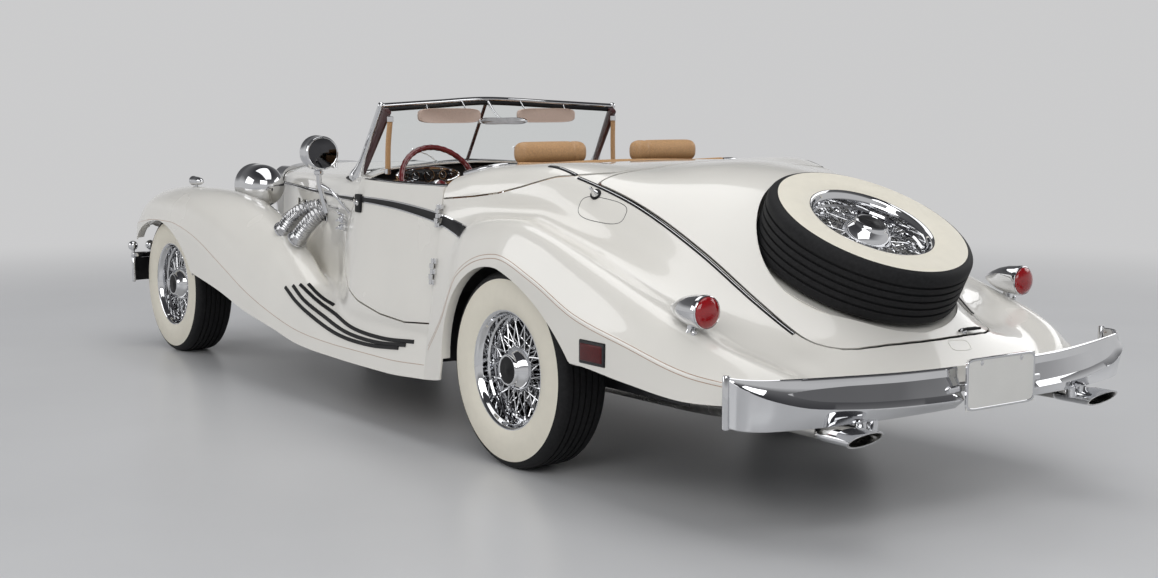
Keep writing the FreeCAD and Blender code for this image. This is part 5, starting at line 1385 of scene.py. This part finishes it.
# Height of the rear wheel's inner arch at a station: a flattened ellipse about the axle
liner = {"front": 530, "rear": 660, "base": 415, "rise": 325, "under": 30}


def linerTop(s):
    d = s / liner["front"] if s > 0 else s / liner["rear"]
    arch = liner["base"] + liner["rise"] * math.sqrt(max(0.02, 1 - d * d))
    return min(arch, rowAt(tailRows, s)[6] - liner["under"])


def makeLiners():
    rows = []
    for s in np.linspace(470, -700, 40):
        x, top = carX(s), linerTop(s)
        outer = rowAt(fenderRows, s)[0] - 14
        side = ((528, 300), (528, top - 60), (552, top - 12), (600, top), (min(outer, 742), top - 16))
        rows.append([(x, y, z) for y, z in side])
    rows.insert(0, [(x + 8, y, 302 + k) for k, (x, y, _) in enumerate(rows[0])])
    bothSides("rearLiner", [(*sheetBetween(rows, 4), "satinBlack")], "car_body")
    rows = []
    for s in np.linspace(1540, 3380, 50):
        yi = min(rowAt(flankRows, s)[4], rowAt(wingRows, s)[0]) + 12
        zi = min(rowAt(flankRows, s)[5], rowAt(wingRows, s)[1]) - 4
        rows.append([(carX(s), min(yi, 430), 345), (carX(s), yi, (zi + 345) / 2), (carX(s), yi, zi)])
    bothSides("frontLiner", [(*sheetBetween(rows, 3), "satinBlack")], "car_body")
    rows = []
    for s in np.linspace(325, -1250, 40):
        tail = rowAt(tailRows, s)
        half = min(522, tail[5] - 14)
        top = min(720, tail[6] - 46)
        low = 452 + min(0, s + 1100) * 0.1
        edge = tail[5] - 12
        side = [(edge, tail[6] - 16), (half, max(top, low + 4)), (half, low), (half * 0.5, low)]
        rows.append([(carX(s), y, z) for y, z in [(-y, z) for y, z in side] + [(0, low)] + side[::-1]])
    assembled("bootLining", [(*sheetBetween(rows, 4), "satinBlack")], "car_body")


def makeTailEnd(grid):
    row = toCar(grid[-1])
    low = row.copy()
    low[:, 2] = np.minimum(row[:, 2] - 3, 408)
    inward = low.copy()
    inward[:, 0] += 70
    inward[:, 1] *= 0.96
    points, faces = sheetBetween([row, low, inward], 4)
    assembled("tailEnd", [(points, [face[::-1] for face in faces], "ivoryPaint")], "car_body")


doorCard = {"edge": 26, "top": 925, "depth": 45.0, "thick": 7.0}


def makeDoorCards(grid):
    s, z = grid[..., 0], grid[..., 2]
    column = np.broadcast_to(np.arange(grid.shape[1]), s.shape)
    field = np.where(column < flankColumns["door"], insideBy(s, z, doorOutline) - doorCard["edge"], -40.0)
    points, faces = trimmedCells(grid, np.minimum(field, doorCard["top"] - z))
    points, faces, thick = compact(points, faces, np.full(len(points), doorCard["thick"]))
    points = toCar(points - normalsOf(points, faces) * doorCard["depth"])
    shell = shellArrays(points, faces, thick)
    for side in ("left", "right"):
        panelObject("doorCard" + side.title(), shell, "door_" + side, (), "tanLeather",
                    side == "right")


# The well that the spare wheel lies in
def makeWell(trees):
    lay = spareAxis()
    face = np.array([carX(spare["station"]), 0, spare["faceZ"]])
    _, u, v = basisOf(lay)
    floor = face - lay * (spare["depth"] - 1)
    count = 96
    rings = [[], [], [], [], []]
    for t in turns(count):
        way = math.cos(t) * u + math.sin(t) * v
        start = face + way * spare["reach"] + lay * 400
        hit = trees["tail"].ray_cast(Vector(start), Vector(-lay))[0]
        low = floor + way * spare["reach"]
        deep = max(3.0, (np.array(hit) - low) @ lay) if hit is not None else 3.0
        spots = (low + lay * (deep - 1.0), low + lay * deep * 0.5, low + lay * min(8.0, deep * 0.25),
                 low - way * 8, floor + way * 40)
        for ring, spot in zip(rings, spots):
            ring.append(spot)
    points, faces = ringMesh([ring[::-1] for ring in rings], False)
    faces.append([4 * count + j for j in range(count)])
    points, faces = shellArrays(points, [face[::-1] for face in faces], 3.0)
    seat = lathe([(0, 44), (44, 44), (52, 40), (60, 24), (66, 18), (70, 0)], floor, lay, 40)
    assembled("spareWell", [(points, faces, "ivoryPaint"), (*seat, "satinBlack")], "trunk_lid")


def makeBulkhead():
    outline = [tuple(p) for p in bonnetSection(1516) if p[1] > belt + 1]
    half, middle = outline[-1][0], 640
    outline = outline + [(half, 700), (608, 500), (600, 352), (-600, 352), (-608, 500), (-half, 700)]
    rings = [[(carX(station), y * shrink, middle + (z - middle) * shrink) for y, z in outline]
             for station, shrink in ((1506, 0.982), (1508, 0.99), (1517, 0.99), (1519, 0.982))]
    assembled("bulkhead", [(*ringMesh(rings), "satinBlack")], "car_body", ("cowl",), 30)


def makeCockpitTrim(trees):
    rim = [(497, 610, 1000), (440, 607, 1010), (380, 602, 1018), (346, 588, 1024), (330, 556, 1028),
           (326, 500, 1031)]
    spots, normals = onSurface(trees["tail"], stationPath(rim, 12.0))
    corner = [tube(spots + normals * 3, np.linspace(15, 8, len(spots)), 18, 0.8)]
    bothSides("cockpitCorner", corner, "car_body")
    across = stationPath([(325, y, 1034) for y in np.linspace(494, -494, 24)], 22.0)
    spots, normals = onSurface(trees["tail"], across)
    assembled("cockpitRoll", [(*tube(spots + (4, 0, -1), 11, 16), "tanLeather")], "car_body")
    seal = stationPath([(1120, 668, 959), (900, 674, 954), (700, 676, 954), (505, 678, 957)])
    path = stationPath([(1150, 690, 956), (1070, 693, 955)], 10.0)
    widths = [1, 4, 4, 4, 4, 4, 4, 1][:len(path)] if len(path) < 9 else 4
    parts = [(*tube(seal, 5.5, 12), "blackStrip"),
             tube(seal + (0, 9, -1), 2.4, 10), (*tube(path + (0, -8, 2), widths, 12, 0.6), "blackStrip")]
    bothSides("doorSeal", parts, "door")
    bars = []
    for y in (575, -575):
        low, high = (60, y, 985), (50, y * 0.985, 1196)
        curve = curveThrough([low, ((low[0] + high[0]) / 2 + 4, y * 0.995, 1090), high], 20)
        bars.append((*tube(curve, 12, 16, 0.55), "tanLeather"))
        for end in (low, high):
            bars.append(lathe([(-12, 9), (-10, 14), (10, 14), (12, 9)], end, (0, 0, 1), 24, flat=0.7))
    assembled("screenStays", bars, "car_body")
    path = np.array([(carX(s), 0, rowAt(bonnetRows, s)[5] - 1) for s in np.linspace(1530, 2706, 60)])
    assembled("bonnetRail", [tube(path, 9.5, 16, 0.5)], "car_body")
    wipers = []
    for y in (170, -330):
        x, tip = -abs(y) * 0.13, 330 - abs(y) * 0.16
        wipers.append(lathe([(-12, 14), (0, 13), (8, 9), (12, 0)], (372 + x, y, 1000 - abs(y) * 0.03),
                            (0.5, 0, 1), 24))
        wipers.append(tube([(368 + x, y, 1008), (350 + x, y + 60, 1040), (tip, y + 150, 1068)], [4, 3, 3],
                           10))
    assembled("wipers", wipers, "car_body")


def makeCabinTrim():
    rows = []
    for s in np.linspace(350, 494, 12):
        top = linerTop(s)
        side = ((596, rowAt(tailRows, s)[0] - 44), (612, 930), (618, 800), (616, top + 40), (540, top + 12),
                (521, top - 60), (521, 345))
        rows.append([(carX(s), y, z) for y, z in side])
    bothSides("quarterTrim", [(*sheetBetween(rows, 4), "tanLeather")], "car_body")
    rows = []
    for s in np.linspace(1236, 1500, 12):
        half = min(rowAt(flankRows, max(s, 1240))[2] - 16, 660)
        top = rowAt(bonnetRows, s)
        side = ((top[1] - 26, 932), (top[0] - 28, 860), (half - 12, 700), (half - 14, 470), (half - 40, 348))
        rows.append([(carX(s), y, z) for y, z in side])
    bothSides("kickTrim", [(*sheetBetween(rows, 4), "darkCarpet")], "car_body")


lights = [
    # Columns: name, place, aim, width, height, power
    ("keyLight", (-6.5, 5.5, 5.2), (0.0, 0.2, 0.6), 7.0, 4.0, 270.0),
    ("fillLight", (4.5, 7.5, 3.8), (0.6, 0.2, 0.6), 6.0, 3.4, 130.0),
    ("topLight", (0.0, 0.0, 6.5), (0.0, 0.0, 0.0), 9.0, 4.5, 200.0),
    ("backLight", (-2.0, -7.0, 4.2), (-0.4, 0.0, 0.6), 7.0, 3.0, 130.0)]
studio = {"horizon": (0.60, 0.60, 0.605, 1.0), "middle": (0.16, 0.16, 0.165, 1.0),
          "zenith": (0.05, 0.05, 0.055, 1.0), "floor": 0.60, "fadeFrom": 3.6, "fadeTo": 9.0}


def makeStudio():
    floor = meshObject("studioFloor", [(-60, -60, 0), (60, -60, 0), (60, 60, 0), (-60, 60, 0)],
                       [[0, 1, 2, 3]], None, scale=1.0, smooth=False)
    floor.location.z = -0.0005
    material, tree, shader = newMaterial("floorPale")
    pale = [(at, (studio["floor"] * part,) * 3) for at, part in ((0.3, 0.97), (0.7, 1.03))]
    tree.links.new(rampOf(tree, noiseOf(tree, 0.9, 4.0), pale), shader.inputs["Base Color"])
    setShader(shader, Roughness=0.32)
    away = addNode(tree, "VectorMath")
    away.operation = "LENGTH"
    tree.links.new(addNode(tree, "TexCoord").outputs["Object"], away.inputs[0])
    fade = addNode(tree, "MapRange", From_Min=studio["fadeFrom"], From_Max=studio["fadeTo"])
    fade.interpolation_type = "SMOOTHSTEP"
    tree.links.new(away.outputs["Value"], fade.inputs["Value"])
    glow = addNode(tree, "Emission", Color=studio["horizon"])
    out = next(node for node in tree.nodes if node.type == "OUTPUT_MATERIAL")
    mixInto(tree, fade.outputs["Result"], shader.outputs[0], glow.outputs[0], out)
    floor.data.materials.append(material)
    for name, spot, aim, width, height, power in lights:
        data = bpy.data.lights.new(name, "AREA")
        data.shape = "RECTANGLE"
        data.size, data.size_y, data.energy = width, height, power
        lamp = bpy.data.objects.new(name, data)
        bpy.context.scene.collection.objects.link(lamp)
        lamp.location = spot
        lamp.rotation_euler = (Vector(aim) - Vector(spot)).to_track_quat("-Z", "Y").to_euler()
    world = bpy.data.worlds.new("studioWorld")
    bpy.context.scene.world = world
    world.use_nodes = True
    tree = world.node_tree
    tree.nodes.clear()
    out = addNode(tree, "OutputWorld")
    soft = addNode(tree, "Background", Color=(0.9, 0.93, 1.0, 1), Strength=0.34)
    split = addNode(tree, "SeparateXYZ", Vector=addNode(tree, "TexCoord").outputs["Generated"])
    sky = rampOf(tree, split.outputs["Z"], [(0.0, studio["horizon"]), (0.14, studio["horizon"]),
                                            (0.34, studio["middle"]), (0.8, studio["zenith"])])
    seen = addNode(tree, "Background", Color=sky)
    # The camera, reflections and glass see the sky, and every other ray gets soft light
    path = addNode(tree, "LightPath")
    last = path.outputs["Is Camera Ray"]
    for kind in ("Is Glossy Ray", "Is Transmission Ray"):
        either = addNode(tree, "Math")
        either.operation = "MAXIMUM"
        tree.links.new(last, either.inputs[0])
        tree.links.new(path.outputs[kind], either.inputs[1])
        last = either.outputs[0]
    mixInto(tree, last, soft.outputs[0], seen.outputs[0], out)
    bpy.context.scene.view_settings.view_transform = "Standard"


# Finishes of the CAD nodes that stay
nodeFinish = {
    "chrome": "chromePlate", "chassis_paint": "satinBlack", "engine_metal": "castGrey",
    "exhaust_steel": "heatedSteel", "plate_enamel": "plateEnamel", "tyre": "treadRubber",
    "body_paint": "ivoryPaint", "tan_leather": "tanLeather", "visor_fabric": "visorCloth",
    "wheel_rim": "redRim", "grille_black": "meshBlack", "clear_glass": "clearGlass",
    "red_lens": "redLens", "dash_wood": "walnut"}
ownFinish = {"cabin_floor": "darkCarpet", "steering_column": "satinBlack"}


def dressNodes():
    for part in frame["record"]["subparts"]:
        node = frame["nodes"][part["node"]]
        material = materialOf(ownFinish.get(part["node"], nodeFinish[part["material_slot"]]))
        node.data.materials.clear()
        node.data.materials.append(material)


makeCamera()
makeStudio()
dressNodes()
print("frame dressed")
tailGrid = makeTail()
flankGrid = makeFlanks()
makeBonnet()
trees = {"tail": surfaceTree(tailGrid), "flank": surfaceTree(flankGrid)}
print("body panels made")
makeFlanges(trees)
makeLiners()
makeTailEnd(tailGrid)
makeWell(trees)
makeBulkhead()
makeDoorCards(flankGrid)
makeCabinTrim()
print("liners and cards made")
makeWheels()
print("wheels made")
makeStrips(trees)
makeFittings(trees)
makeLamps()
makePipes()
makeTips()
makeBumpers()
print("fittings made")
makeScreen()
makeCockpitTrim(trees)
makeSteering()
makeDash()
makeSeats()
print("cabin made")
